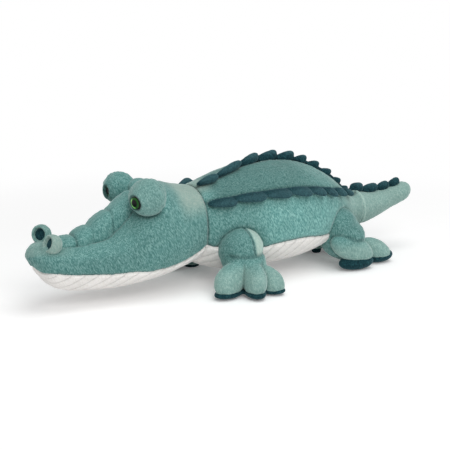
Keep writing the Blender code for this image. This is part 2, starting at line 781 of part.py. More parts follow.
class Foot:
    """One leg's sizes, its hinge and heel, and its toes in a fan about the heel."""

    def __init__(self, end, side):
        front = end == "front"
        self.name = f"{end}_{SIDE_NAMES[side]}"
        self.radius = FRONT_HIP_RADIUS if front else HIND_HIP_RADIUS
        self.bulge = FRONT_HIP_BULGE if front else HIND_HIP_BULGE
        self.heel_radius = FRONT_HEEL_RADIUS if front else HIND_HEEL_RADIUS
        self.heel_half_height = FRONT_HEEL_HALF_HEIGHT if front else HIND_HEEL_HALF_HEIGHT
        along = FRONT_HIP_ALONG if front else HIND_HIP_ALONG
        height = FRONT_HIP_HEIGHT if front else HIND_HIP_HEIGHT
        self.hip = Vector((NECK_X + along, side * (torso_body().section(along)[0] - HIP_INSET), height))
        heel_along = FRONT_HEEL_ALONG if front else HIND_HEEL_ALONG
        heel_out = FRONT_HEEL_OUT if front else HIND_HEEL_OUT
        self.heel = Vector((self.hip.x + heel_along, self.hip.y + side * heel_out, 0.0))
        reach = FRONT_TOE_REACH if front else HIND_TOE_REACH
        turn = FRONT_FOOT_TURN if front else HIND_FOOT_TURN
        spread = FRONT_TOE_SPREAD if front else HIND_TOE_SPREAD
        shares = FRONT_TOE_SHARES if front else HIND_TOE_SHARES
        self.toes = []
        for k, share in enumerate(shares):
            angle = turn + (k - 1) * spread
            direction = Vector((-math.cos(angle), side * math.sin(angle), 0))
            self.toes.append((self.heel + direction * reach * share, direction))


def sole_mesh(name, foot):
    """A pad under the heel and toes: the outline of their circles, with a rounded lower edge."""
    shape = bmesh.new()
    discs = [(foot.heel, foot.heel_radius)]
    for centre, direction in foot.toes:
        discs.append((centre + direction * (TOE_HALF_LENGTH - TOE_RADIUS), TOE_RADIUS))
    levels = ((0.0, SOLE_INSET + SOLE_EDGE), (SOLE_EDGE, SOLE_INSET), (SOLE_THICKNESS, SOLE_INSET))
    for height, inset in levels:
        for centre, radius in discs:
            for i in range(BALL_SEGMENTS):
                angle = 2 * math.pi * i / BALL_SEGMENTS
                out = Vector((math.cos(angle), math.sin(angle), 0)) * (radius - inset)
                shape.verts.new((centre.x + out.x, centre.y + out.y, height))
    bmesh.ops.convex_hull(shape, input=shape.verts)
    unused = [v for v in shape.verts if not v.link_faces]
    bmesh.ops.delete(shape, geom=unused, context="VERTS")
    bmesh.ops.recalc_face_normals(shape, faces=shape.faces)
    mesh = bpy.data.meshes.new(name)
    shape.to_mesh(mesh)
    shape.free()
    return mesh


def make_leg(end, side, parts, cutters, teal, dark, torso, panel):
    foot = Foot(end, side)
    name = foot.name
    hip_sizes = (foot.hip, foot.radius, HIP_INNER_BULGE, foot.bulge)
    leg = new_object(f"leg_{name}", hip_ball_mesh(name, *hip_sizes), parts, teal)
    up = Vector((0, 0, foot.heel_half_height))
    radii = (foot.heel_radius, HEEL_ACROSS_SHARE * foot.heel_radius, foot.heel_half_height)
    heel = ball_mesh("heel", foot.heel + up, radii)
    join(leg, new_object(f"heel_{name}", heel, cutters))
    for k, (centre, direction) in enumerate(foot.toes):
        spin = Matrix.Rotation(math.atan2(direction.y, direction.x), 4, "Z")
        spin @= Matrix.Rotation(TOE_SLOPE, 4, "Y")
        radii = (TOE_HALF_LENGTH, TOE_RADIUS, TOE_HALF_HEIGHT)
        toe = ball_mesh("toe", centre + Vector((0, 0, TOE_HALF_HEIGHT)), radii, turn=spin)
        join(leg, new_object(f"toe_{name}_{k + 1}", toe, cutters))
    reach = 2 * (HIND_TOE_REACH + TOE_HALF_LENGTH)
    floor = cylinder_mesh("floor", reach, -OVERRUN, SOLE_THICKNESS + GAP)
    floor = new_object(f"floor_{name}", floor, cutters)
    floor.location = (foot.heel.x, foot.heel.y, 0)
    cut(leg, floor)
    new_object(f"sole_{name}", sole_mesh(f"sole_{name}", foot), parts, dark)
    socket = new_object(f"socket_{name}", hip_ball_mesh(f"socket_{name}", *hip_sizes, PIVOT_GAP), cutters)
    cut(torso, socket)
    cut(panel, socket)


def main():
    clear_scene()
    parts = new_collection("plush_crocodile")
    cutters = new_collection("cutters")
    teal = new_material("teal_plush", TEAL)
    dark = new_material("dark_teal_velour", DARK_TEAL)
    cream = new_material("cream_ribbed_plush", CREAM)
    plastic = new_material("eye_plastic", EYE_PLASTIC)
    washer_plastic = new_material("washer_plastic", WASHER_PLASTIC)
    torso, panel = make_torso(parts, cutters, teal, cream)
    head_shape, head_grown = make_head(parts, cutters, teal, cream)
    ridge = make_snout_ridge(parts, cutters, teal, head_shape, head_grown)
    for side in (LEFT, RIGHT):
        make_eye_dome(side, parts, cutters, teal, head_grown, ridge)
        make_eye(side, parts, plastic, washer_plastic)
        make_nostril(side, parts, cutters, teal, dark, head_shape, head_grown, ridge)
    make_scute_rows(parts, dark)
    make_tail(parts, cutters, teal, dark)
    for end in ("front", "hind"):
        for side in (LEFT, RIGHT):
            make_leg(end, side, parts, cutters, teal, dark, torso, panel)


main()
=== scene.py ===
"""The looks of a plush crocodile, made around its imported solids.

The nose points to -X and the toy's left side to -Y. A stuffed body is a loft of ovals, and a leg, a
nostril or a sole is the skin round rounded forms that run together. Each skin is drawn in along its
seams, swells as cloth between them, and then gets a short pile by moving its points.
"""

import math

import bmesh
import bpy
import numpy as np
from mathutils import Matrix, Vector, kdtree


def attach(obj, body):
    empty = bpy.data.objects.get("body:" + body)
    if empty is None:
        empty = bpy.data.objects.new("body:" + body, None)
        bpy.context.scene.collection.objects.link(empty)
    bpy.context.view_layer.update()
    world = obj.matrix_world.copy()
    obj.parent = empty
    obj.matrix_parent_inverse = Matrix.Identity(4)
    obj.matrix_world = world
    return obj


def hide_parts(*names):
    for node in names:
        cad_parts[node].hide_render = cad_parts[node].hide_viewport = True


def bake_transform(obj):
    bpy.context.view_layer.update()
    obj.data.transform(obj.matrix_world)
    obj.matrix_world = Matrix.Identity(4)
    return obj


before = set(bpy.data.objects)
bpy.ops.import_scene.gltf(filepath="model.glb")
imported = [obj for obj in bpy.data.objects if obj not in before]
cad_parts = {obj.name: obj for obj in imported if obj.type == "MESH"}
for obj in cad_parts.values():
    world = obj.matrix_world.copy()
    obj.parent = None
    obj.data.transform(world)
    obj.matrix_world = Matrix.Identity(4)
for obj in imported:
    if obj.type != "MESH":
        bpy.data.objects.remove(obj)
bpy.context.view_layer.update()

LEFT, RIGHT = -1, 1
SIDE_NAMES = {LEFT: "left", RIGHT: "right"}

# The camera of the photograph
IMAGE_WIDTH = 450
SENSOR_WIDTH = 36.0
FOCAL_PIXELS = 1087.9
CAMERA_TARGET = Vector((-0.01465, 0, 0.05095))
CAMERA_DISTANCE = 1.012
CAMERA_AZIMUTH = math.radians(-32)
CAMERA_ELEVATION = math.radians(14)

# The solids' own sizes, which the pieces follow
HEAD_LENGTH = 0.1595
TORSO_LENGTH = 0.187
TAIL_LENGTH = 0.075
NOSE_X = -(HEAD_LENGTH + TORSO_LENGTH + TAIL_LENGTH) / 2
NECK_X = NOSE_X + HEAD_LENGTH
TAIL_X = NECK_X + TORSO_LENGTH
NECK_HEIGHT = 0.058
NECK_RADIUS = 0.0297
NECK_HALF_HEIGHT = 0.0335
BACK_HEIGHT = 0.108
CROWN_HEIGHT = 0.100
TORSO_HALF_WIDTH = 0.048
HEAD_HALF_WIDTH = 0.040
RIM = 0.0022
TAIL_ROOT_HEIGHT = 0.0495
TAIL_ROOT_RADIUS = 0.016
TAIL_TIP_ROUND = 0.012
NOSE_ROUND = 0.016
HEAD_SQUARENESS = 2.35

# Sections as shares: the place along, the half width, the bottom, the widest place and the top
TORSO_SHARES = (
    (0.09, 0.79, 0.146, 0.527, 0.912),
    (0.20, 0.92, 0.104, 0.523, 0.966),
    (0.33, 1.00, 0.109, 0.520, 0.997),
    (0.47, 1.00, 0.116, 0.518, 1.000),
    (0.60, 0.94, 0.138, 0.509, 0.968),
    (0.73, 0.79, 0.184, 0.490, 0.880),
    (0.84, 0.62, 0.236, 0.475, 0.764),
    (0.94, 0.43, 0.285, 0.463, 0.620),
)
HEAD_SHARES = (
    (0.000, 0.44, 0.33, 0.48, 0.585),
    (0.070, 0.50, 0.24, 0.47, 0.595),
    (0.195, 0.60, 0.172, 0.43, 0.570),
    (0.320, 0.68, 0.148, 0.41, 0.565),
    (0.446, 0.78, 0.136, 0.42, 0.610),
    (0.571, 0.90, 0.142, 0.48, 0.800),
    (0.697, 1.00, 0.168, 0.53, 0.980),
    (0.800, 0.98, 0.198, 0.55, 0.995),
    (0.900, 0.90, 0.238, 0.565, 0.955),
    (1.000, 0.79, 0.280, 0.580, 0.930),
)
# Along the tail: the place, the radius and the height of the middle. The last row leaves room for pile.
TAIL_ROWS = (
    (0.0000, 0.0176, 0.0495),
    (0.0150, 0.0150, 0.0487),
    (0.0300, 0.0126, 0.0507),
    (0.0396, 0.0113, 0.0528),
    (0.0487, 0.0106, 0.0552),
    (0.0579, 0.0102, 0.0577),
    (TAIL_LENGTH - 0.0018, 0.0098, 0.0608),
)

# The fabric over a joint: the two bodies, and where it turns from the first to the second
NECK_BEND = ("torso", "head", (NECK_X + 0.020, 0, NECK_HEIGHT), (NECK_X, 0, NECK_HEIGHT))
TAIL_BEND = ("torso", "tail", (TAIL_X, 0, TAIL_ROOT_HEIGHT), (TAIL_X + 0.018, 0, TAIL_ROOT_HEIGHT))
# The way the pile lies
BODY_NAP = (0.45, 0.0, -0.89)
LEG_NAP = (0.15, 0.0, -0.99)


# Tables and bodies


def along_table(table, at):
    """The columns of a table after its first, on smooth curves through its rows."""
    rows = np.array(table, float)
    places, values = rows[:, 0], rows[:, 1:]
    before = np.maximum(np.arange(len(rows)) - 1, 0)
    after = np.minimum(np.arange(len(rows)) + 1, len(rows) - 1)
    slopes = (values[after] - values[before]) / (places[after] - places[before])[:, None]
    at = np.clip(np.asarray(at, float), places[0], places[-1])
    i = np.clip(np.searchsorted(places, at, side="right") - 1, 0, len(rows) - 2)
    width = (places[i + 1] - places[i])[..., None]
    t = (at - places[i])[..., None] / width
    start = (1 + 2 * t) * (1 - t) ** 2 * values[i] + t * (1 - t) ** 2 * width * slopes[i]
    end = t**2 * (3 - 2 * t) * values[i + 1] - t**2 * (1 - t) * width * slopes[i + 1]
    return np.moveaxis(start + end, -1, 0)


def unit(vectors):
    return vectors / np.maximum(np.linalg.norm(vectors, axis=-1, keepdims=True), 1e-12)


def bump(distance, width):
    """1 where the distance is 0, falling off smoothly over the width."""
    return np.exp(-((distance / width) ** 2))


def between(value, low, high):
    """0 below low and 1 above high, with a smooth step between them."""
    share = np.clip((value - low) / (high - low), 0, 1)
    return share * share * (3 - 2 * share)


TUCK_REACH = 0.05


class Stuffed:
    """A stuffed body of oval sections along X, each with its half width, bottom, widest place and top.

    A tuck moves what is below the widest place back at the first end.
    """

    def __init__(self, start, table, round_start=0.0, round_end=0.0, squareness=2.0, tuck=0.0):
        self.start = start
        self.table = table
        self.power = 2 / squareness
        self.first = table[0][0]
        self.last = table[-1][0]
        self.round_start = round_start
        self.round_end = round_end
        self.tuck = tuck

    def fullness(self, along):
        full = np.ones_like(along)
        ends = ((along - self.first, self.round_start), (self.last - along, self.round_end))
        for distance, length in ends:
            if length:
                near = np.clip(1 - distance / length, 0, 1)
                full = full * np.sqrt(1 - near**2)
        return full

    def section(self, along):
        along = np.asarray(along, float)
        full = self.fullness(along)
        half, low, middle, high = along_table(self.table, along)
        return half * full, middle - (middle - low) * full, middle, middle + (high - middle) * full

    def point(self, along, angle, outward=0.0):
        """Points of the skin. The angle is 0 at the top and grows towards the right side."""
        along, angle, outward = np.broadcast_arrays(
            *(np.asarray(value, float) for value in (along, angle, outward))
        )
        half, low, middle, high = self.section(along)
        across = np.copysign(np.abs(np.sin(angle)) ** self.power, np.sin(angle))
        up = np.copysign(np.abs(np.cos(angle)) ** self.power, np.cos(angle))
        reach = np.where(up > 0, high - middle, middle - low)
        below = np.maximum(-up, 0) * reach
        back = self.tuck * below * np.clip(1 - (along - self.first) / TUCK_REACH, 0, 1) ** 2
        height = middle + (reach + outward) * up
        return np.stack((self.start + along + back, (half + outward) * across, height), axis=-1)

    def top_at(self, along, across):
        half, _, middle, high = self.section(along)
        share = (1 - np.abs(across / half) ** (2 / self.power)) ** (self.power / 2)
        return middle + (high - middle) * share

    def angle_of(self, points):
        """How far each point is from the top, round the section, from 0 to pi."""
        half, low, middle, high = self.section(points[:, 0] - self.start)
        height = points[:, 2] - middle
        reach = np.where(height > 0, high - middle, middle - low)
        power = 1 / self.power
        across = np.abs(points[:, 1] / np.maximum(half, 1e-6)) ** power
        up = np.copysign(np.abs(height / np.maximum(reach, 1e-6)) ** power, height)
        return np.arctan2(across, up)

    def normal(self, along, angle):
        step, turn = 0.0005, 0.01
        forward = self.point(along + step, angle) - self.point(along - step, angle)
        across = self.point(along, angle + turn) - self.point(along, angle - turn)
        return unit(np.cross(forward, across))

    def rings(self, count):
        """Places along the body, closer together at rounded ends."""
        share = np.linspace(0, 1, count + 1)
        if self.round_start and self.round_end:
            share = (1 - np.cos(math.pi * share)) / 2
        elif self.round_start:
            share = 1 - np.sin(math.pi / 2 * (1 - share))
        elif self.round_end:
            share = np.sin(math.pi / 2 * share)
        return self.first + share * (self.last - self.first)


def torso_body():
    neck = (
        0.0,
        NECK_RADIUS + RIM,
        NECK_HEIGHT - NECK_HALF_HEIGHT - RIM,
        NECK_HEIGHT,
        NECK_HEIGHT + NECK_HALF_HEIGHT + RIM,
    )
    root = (
        TORSO_LENGTH,
        TAIL_ROOT_RADIUS + RIM,
        TAIL_ROOT_HEIGHT - TAIL_ROOT_RADIUS - RIM,
        TAIL_ROOT_HEIGHT,
        TAIL_ROOT_HEIGHT + TAIL_ROOT_RADIUS + RIM,
    )
    rows = [
        (along * TORSO_LENGTH, half * TORSO_HALF_WIDTH, *(share * BACK_HEIGHT for share in heights))
        for along, half, *heights in TORSO_SHARES
    ]
    return Stuffed(NECK_X, [neck, *rows, root])


def head_body():
    rows = [
        (along * HEAD_LENGTH, half * HEAD_HALF_WIDTH, *(share * CROWN_HEIGHT for share in heights))
        for along, half, *heights in HEAD_SHARES
    ]
    return Stuffed(NOSE_X, rows, round_start=NOSE_ROUND, squareness=HEAD_SQUARENESS, tuck=0.40)


def tail_body():
    rows = [
        (along, radius, height - radius, height, height + radius)
        for along, radius, height in TAIL_ROWS
    ]
    return Stuffed(TAIL_X, rows, round_end=TAIL_TIP_ROUND)


def hashed(cell, seed):
    """Numbers from -1 to 1 that look random, one for each cell of whole numbers."""
    mixed = cell @ np.array((73856093, 19349663, 83492791)) + seed * 2654435761
    mixed = (mixed ^ (mixed >> 13)) * 1274126177 & 0xFFFFFFFF
    mixed = (mixed ^ (mixed >> 16)) * 668265263 & 0xFFFFFFFF
    return ((mixed ^ (mixed >> 15)) & 0xFFFF) / 0x8000 - 1.0


def noise(points, seed):
    """Smooth noise from -1 to 1, with one cell to a unit."""
    cell = np.floor(points).astype(np.int64)
    part = points - cell
    part = part * part * (3 - 2 * part)
    total = np.zeros(len(points))
    for corner in np.ndindex(2, 2, 2):
        weight = np.prod(np.where(np.array(corner) == 1, part, 1 - part), axis=1)
        total += weight * hashed(cell + np.array(corner), seed)
    return total


# Fields of distances, below 0 inside a form


def oval(points, centre, radii, turn=None):
    local = points - np.array(centre)
    if turn is not None:
        local = local @ np.array(turn.to_3x3())
    radii = np.array(radii, float)
    near = np.linalg.norm(local / radii, axis=1)
    steep = np.linalg.norm(local / radii**2, axis=1)
    return near * (near - 1) / np.maximum(steep, 1e-9)


def rod(points, start, end, start_radius, end_radius):
    """A tapered rod with round ends."""
    start = np.array(start, float)
    way = np.array(end, float) - start
    share = np.clip((points - start) @ way / (way @ way), 0, 1)
    away = np.linalg.norm(points - start - share[:, None] * way, axis=1)
    return away - start_radius - (end_radius - start_radius) * share


def joined(one, two, soft):
    """Both forms, with a hollow of the soft size where they meet."""
    share = np.clip(0.5 + 0.5 * (two - one) / soft, 0, 1)
    return two + (one - two) * share - soft * share * (1 - share)


def shared(one, two, soft):
    """What lies in both forms, with a rounded edge."""
    return -joined(-one, -two, soft)


# Meshes


def new_object(name, mesh):
    obj = bpy.data.objects.new(name, mesh)
    bpy.context.scene.collection.objects.link(obj)
    mesh.shade_smooth()
    return obj


def tidy(mesh):
    shape = bmesh.new()
    shape.from_mesh(mesh)
    bmesh.ops.remove_doubles(shape, verts=shape.verts, dist=0.00001)
    bmesh.ops.recalc_face_normals(shape, faces=shape.faces)
    shape.to_mesh(mesh)
    shape.free()


def skin_of(grid, plate=False):
    """A closed skin over rings of points. Its ends are fans, or strips of quads on a curved plate."""
    grid = np.asarray(grid, float)
    rows, columns = grid.shape[:2]
    index = np.arange(rows * columns).reshape(rows, columns)
    turned = np.roll(index, -1, axis=1)
    quads = np.stack((index[:-1], turned[:-1], turned[1:], index[1:]), axis=-1).reshape(-1, 4)
    faces = quads.tolist()
    points = grid.reshape(-1, 3)
    if plate:
        for ring in (index[0], index[-1]):
            for i in range(columns // 2 - 1):
                faces.append([ring[i], ring[i + 1], ring[-2 - i], ring[-1 - i]])
    else:
        points = np.vstack((points, grid[0].mean(axis=0), grid[-1].mean(axis=0)))
        for ring, centre in ((index[0], len(points) - 2), (index[-1], len(points) - 1)):
            faces += [[ring[i], ring[(i + 1) % columns], centre] for i in range(columns)]
    mesh = bpy.data.meshes.new("skin")
    mesh.from_pydata(points.tolist(), [], faces)
    tidy(mesh)
    return mesh


def netted(name, field, low, high, step):
    """The closed skin where a field of distances is 0, with one point in each cube that it crosses."""
    axes = [np.arange(first - 2 * step, last + 3 * step, step) for first, last in zip(low, high)]
    places = np.stack(np.meshgrid(*axes, indexing="ij"), axis=-1)
    value = field(places.reshape(-1, 3)).reshape(places.shape[:3])
    total = np.zeros(places.shape)
    count = np.zeros(value.shape)
    corners = []
    for axis in range(3):
        first = np.moveaxis(value, axis, 0)[:-1]
        second = np.moveaxis(value, axis, 0)[1:]
        spots = np.argwhere((first < 0) != (second < 0))
        share = first[tuple(spots.T)] / (first[tuple(spots.T)] - second[tuple(spots.T)])
        others = [k for k in range(3) if k != axis]
        cell = np.empty_like(spots)
        cell[:, axis] = spots[:, 0]
        cell[:, others] = spots[:, 1:]
        crossing = places[tuple(cell.T)].copy()
        crossing[:, axis] += share * step
        ring = []
        for back_one, back_two in ((0, 0), (0, 1), (1, 1), (1, 0)):
            beside = cell.copy()
            beside[:, others[0]] -= back_one
            beside[:, others[1]] -= back_two
            np.add.at(total, tuple(beside.T), crossing)
            np.add.at(count, tuple(beside.T), 1)
            ring.append(np.ravel_multi_index(tuple(beside.T), value.shape))
        corners.append(np.stack(ring, axis=-1))
    filled = count.ravel() > 0
    order = np.cumsum(filled) - 1
    points = total.reshape(-1, 3)[filled] / count.ravel()[filled][:, None]
    mesh = bpy.data.meshes.new(name)
    mesh.from_pydata(points.tolist(), [], order[np.vstack(corners)].tolist())
    tidy(mesh)
    return new_object(name, mesh)


def ball(centre, radius, segments):
    shape = bmesh.new()
    bmesh.ops.create_uvsphere(shape, u_segments=segments, v_segments=segments // 2, radius=1)
    bmesh.ops.scale(shape, vec=(radius,) * 3, verts=shape.verts)
    bmesh.ops.translate(shape, vec=centre, verts=shape.verts)
    mesh = bpy.data.meshes.new("ball")
    shape.to_mesh(mesh)
    shape.free()
    return mesh


def applied(obj):
    """The object with its modifiers applied to its mesh."""
    graph = bpy.context.evaluated_depsgraph_get()
    mesh = bpy.data.meshes.new_from_object(obj.evaluated_get(graph))
    obj.modifiers.clear()
    obj.data = mesh
    mesh.shade_smooth()
    return obj


def remeshed(obj, voxel, rounds=0):
    skin = obj.modifiers.new("skin", "REMESH")
    skin.mode = "VOXEL"
    skin.voxel_size = voxel
    if rounds:
        soften = obj.modifiers.new("soften", "SMOOTH")
        soften.factor = 0.5
        soften.iterations = rounds
    return applied(obj)


def fused(name, meshes, voxel, rounds):
    """One closed skin round all the meshes, with its creases rounded."""
    shape = bmesh.new()
    for mesh in meshes:
        shape.from_mesh(mesh)
        bpy.data.meshes.remove(mesh)
    mesh = bpy.data.meshes.new(name)
    shape.to_mesh(mesh)
    shape.free()
    return remeshed(new_object(name, mesh), voxel, rounds)


def points_of(obj):
    points = np.empty(len(obj.data.vertices) * 3, np.float32)
    obj.data.vertices.foreach_get("co", points)
    return points.reshape(-1, 3).astype(float)


def normals_of(obj):
    normals = np.empty(len(obj.data.vertices) * 3, np.float32)
    obj.data.vertex_normals.foreach_get("vector", normals)
    return normals.reshape(-1, 3).astype(float)


def set_points(obj, points):
    obj.data.vertices.foreach_set("co", np.asarray(points, np.float32).ravel())
    obj.data.update()


def push(obj, outward):
    """Moves each point along its normal."""
    set_points(obj, points_of(obj) + normals_of(obj) * outward[:, None])


def mark(obj, name, values):
    """Keeps a number from 0 to 1 for each point, for the piece's material."""
    layer = obj.data.attributes.get(name) or obj.data.attributes.new(name, "FLOAT", "POINT")
    kept = np.zeros(len(obj.data.vertices), np.float32)
    layer.data.foreach_get("value", kept)
    layer.data.foreach_set("value", np.maximum(kept, values).astype(np.float32))


def sew(obj, distance, width, depth, puff=0.3, dark=1.0):
    """Draws the skin in along a sewn line, where distance is 0, lets it swell a little beside it, and
    paints shade into the crease, as much as dark says.
    """
    near = bump(distance, width)
    beside = bump(distance - 2.6 * width, 1.6 * width)
    push(obj, depth * (puff * beside - near))
    mark(obj, "crease_shade", near * dark)


def from_path(points, path):
    """How far each point is from the nearest point of a path."""
    nearest = np.full(len(points), np.inf)
    for place in path:
        nearest = np.minimum(nearest, ((points - place) ** 2).sum(axis=1))
    return np.sqrt(nearest)


def pile(obj, depth=0.00042, size=0.0015, lie=BODY_NAP, seed=1):
    """Gives the skin a short pile in strands, which are three times as long along the way it lies."""
    points = points_of(obj)
    lie = unit(np.array(lie, float))
    flat = points - (points @ lie)[:, None] * lie * 2 / 3
    strands = noise(flat / size, seed)
    tufts = noise(flat / (size * 2.7), seed + 1)
    nap = noise(points / (size * 12), seed + 2)
    push(obj, depth * (0.55 * strands + 0.5 * tufts + 0.6 * nap))


CLOTH_VOXEL = 0.005
CLOTH_FRAMES = 20
CLOTH_PRESSURE = 4.0
# How far each skin may swell or sink
TORSO_SWELL, HEAD_SWELL, LEG_SWELL = 0.0016, 0.0014, 0.0012


def swelled(obj, held, cap):
    """Lets a stuffed skin swell as cloth under pressure, up to the cap, and keeps its size.

    It is held where held(points) is 1.
    """
    scene = bpy.context.scene
    cloth = remeshed(new_object("cloth", obj.data.copy()), CLOTH_VOXEL)
    start = points_of(cloth)
    normals = normals_of(cloth)
    group = cloth.vertex_groups.new(name="held")
    for index, weight in enumerate(np.clip(held(start), 0, 1)):
        group.add([index], float(weight), "REPLACE")
    modifier = cloth.modifiers.new("cloth", "CLOTH")
    modifier.settings.use_pressure = True
    modifier.settings.uniform_pressure_force = CLOTH_PRESSURE
    modifier.settings.effector_weights.gravity = 0.0
    modifier.settings.vertex_group_mass = "held"
    modifier.point_cache.frame_start = 1
    modifier.point_cache.frame_end = CLOTH_FRAMES
    for step in range(1, CLOTH_FRAMES + 1):
        scene.frame_set(step)
    outward = ((points_of(applied(cloth)) - start) * normals).sum(axis=1)
    scene.frame_set(1)
    bpy.data.objects.remove(cloth)
    outward = np.clip(outward - np.median(outward), -cap, cap)
    tree = kdtree.KDTree(len(start))
    for index, place in enumerate(start):
        tree.insert(place, index)
    tree.balance()
    moved = []
    for place in points_of(obj):
        near = tree.find_n(place, 5)
        weights = [1 / (distance + CLOTH_VOXEL / 5) ** 2 for _, _, distance in near]
        moved.append(sum(w * outward[index] for w, (_, index, _) in zip(weights, near)) / sum(weights))
    push(obj, np.array(moved))


# Materials


class Nodes:
    """The nodes of a material or a world, added one by one."""

    def __init__(self, owner, shader="Principled BSDF"):
        owner.use_nodes = True
        self.owner = owner
        self.tree = owner.node_tree
        self.shader = self.tree.nodes[shader]

    def add(self, kind, inputs=(), **settings):
        node = self.tree.nodes.new(kind)
        for key, value in settings.items():
            setattr(node, key, value)
        for key, value in dict(inputs).items():
            self.put(node.inputs[key], value)
        return node

    def put(self, socket, value):
        if isinstance(value, bpy.types.NodeSocket):
            self.tree.links.new(value, socket)
        else:
            socket.default_value = value

    def shade(self, values):
        """Sets the shader's sockets."""
        for key, value in values.items():
            self.put(self.shader.inputs[key], value)

    def math(self, operation, *values):
        node = self.add("ShaderNodeMath", operation=operation)
        for socket, value in zip(node.inputs, values):
            self.put(socket, value)
        return node.outputs[0]

    def mix(self, share, one, two, blend="MIX"):
        node = self.add("ShaderNodeMix", data_type="RGBA", blend_type=blend)
        self.put(node.inputs[0], share)
        self.put(node.inputs[6], one)
        self.put(node.inputs[7], two)
        return node.outputs[2]

    def noise(self, where, scale, detail=2.0, roughness=0.55):
        values = {"Vector": where, "Scale": scale, "Detail": detail, "Roughness": roughness}
        return self.add("ShaderNodeTexNoise", values).outputs["Fac"]

    def ramp(self, value, *stops):
        node = self.add("ShaderNodeValToRGB", {"Fac": value})
        points = node.color_ramp.elements
        while len(points) < len(stops):
            points.new(0.5)
        for point, (place, colour) in zip(points, stops):
            point.position = place
            point.color = (*colour[:3], 1.0)
        return node.outputs["Color"]

    def attribute(self, name):
        return self.add("ShaderNodeAttribute", attribute_name=name).outputs["Fac"]

    def place(self):
        return self.add("ShaderNodeTexCoord").outputs["Object"]

    def glowing(self, kind, strength):
        """A shader that gives white light."""
        return self.add(kind, {"Color": grey(1.0), "Strength": strength}).outputs[0]

    def mixed(self, share, one, two):
        """A shader between two others."""
        return self.add("ShaderNodeMixShader", {0: share, 1: one, 2: two}).outputs["Shader"]

    def seen(self):
        """1 for what the camera, a gloss or a lens sees, and 0 for what lights the object."""
        path = self.add("ShaderNodeLightPath").outputs
        largest = self.math("MAXIMUM", path["Is Camera Ray"], path["Is Glossy Ray"])
        return self.math("MAXIMUM", largest, path["Is Transmission Ray"])


def grey(value):
    return (value, value, value, 1.0)


NAP_SLOPE = math.radians(63)
STRAND = 0.0008
STRAND_STRETCH = 4.2


def plush_material(name, deep, middle, pale, painted_sheen, spread=0.13, sheen=0.6, tint=(1, 1, 1)):
    """Short pile: strands that are long along the nap, tufts, patches, painted sheen and painted shade.

    The attributes say where shade is painted into creases and along sewn lines, where the skin is darker
    as painted shade and in a few places as a darker colour, where light is painted, and where painted
    sheen turns the pile pale.
    """
    nodes = Nodes(bpy.data.materials.new(name))
    where = nodes.place()
    lie = nodes.add(
        "ShaderNodeMapping",
        {"Vector": where, "Rotation": (0.0, NAP_SLOPE, 0.0), "Scale": (STRAND_STRETCH, 1.0, 1.0)},
        vector_type="TEXTURE",
    ).outputs["Vector"]
    strands = nodes.noise(lie, 1 / STRAND, 2.0, 0.6)
    tufts = nodes.noise(where, 0.30 / STRAND, 2.0, 0.6)
    patches = nodes.noise(where, 0.045 / STRAND, 2.0, 0.6)
    height = nodes.math("MULTIPLY_ADD", strands, 0.80, nodes.math("MULTIPLY", tufts, 0.20))
    colour = nodes.ramp(height, (0.5 - spread, deep), (0.5, middle), (0.5 + spread, pale))
    # The fourth colour is painted sheen, laid on where the pale attribute is.
    soft = tuple(0.5 * low + 0.5 * high for low, high in zip(middle, painted_sheen))
    light = nodes.ramp(height, (0.5 - spread, soft), (0.5 + spread, painted_sheen))
    patch = nodes.ramp(patches, (0.35, grey(0.95)), (0.65, grey(1.04)))
    colour = nodes.mix(nodes.attribute("pale"), colour, light)
    colour = nodes.mix(1.0, colour, patch, "MULTIPLY")
    # Painted shade (in a few places a darker colour), painted light, and painted shade in creases and
    # along sewn lines
    for attribute, level in (("shade_and_tone", 0.72), ("painted_light", 1.35), ("crease_shade", 0.36)):
        changed = nodes.mix(1.0, colour, grey(level), "MULTIPLY")
        colour = nodes.mix(nodes.attribute(attribute), colour, changed)
    raised = nodes.add("ShaderNodeBump", {"Strength": 0.45, "Distance": 0.0006, "Height": height})
    nodes.shade(
        {
            "Base Color": colour,
            "Normal": raised.outputs["Normal"],
            "Roughness": 0.95,
            "Specular IOR Level": 0.15,
            "Sheen Weight": sheen,
            "Sheen Roughness": 0.4,
            "Sheen Tint": (*tint, 1),
        }
    )
    return nodes.owner


def washer_material(name):
    """Plain moulded plastic with faint specks."""
    nodes = Nodes(bpy.data.materials.new(name))
    speck = nodes.ramp(nodes.noise(nodes.place(), 900), (0.3, grey(0.8)), (0.7, grey(1.1)))
    colour = nodes.mix(1.0, (0.80, 0.80, 0.76, 1), speck, "MULTIPLY")
    nodes.shade({"Base Color": colour, "Roughness": 0.5})
    return nodes.owner


EYE_BLACK = (0.0015, 0.002, 0.002)


def eye_material(name):
    """A black pupil in a green iris with rays and a black rim, all under a clear coat. Where lit is 1
    the iris takes lighter greens, a painted crescent of light such as a clear lens would show.
    """
    nodes = Nodes(bpy.data.materials.new(name))
    rays = nodes.math("MULTIPLY_ADD", nodes.noise(nodes.place(), 2600), 0.05, nodes.attribute("out"))
    dark = nodes.ramp(
        rays,
        (0.52, EYE_BLACK),
        (0.58, (0.006, 0.045, 0.006)),
        (0.76, (0.012, 0.110, 0.012)),
        (0.84, (0.004, 0.030, 0.006)),
        (0.90, EYE_BLACK),
    )
    painted_light = nodes.ramp(
        rays,
        (0.50, EYE_BLACK),
        (0.58, (0.07, 0.55, 0.05)),
        (0.70, (0.60, 1.00, 0.38)),
        (0.80, (0.12, 0.65, 0.08)),
        (0.92, EYE_BLACK),
    )
    nodes.shade(
        {
            "Base Color": nodes.mix(nodes.attribute("lit"), dark, painted_light),
            "Roughness": 0.35,
            "Specular IOR Level": 0.1,
            "Coat Weight": 0.15,
            "Coat Roughness": 0.04,
        }
    )
    return nodes.owner
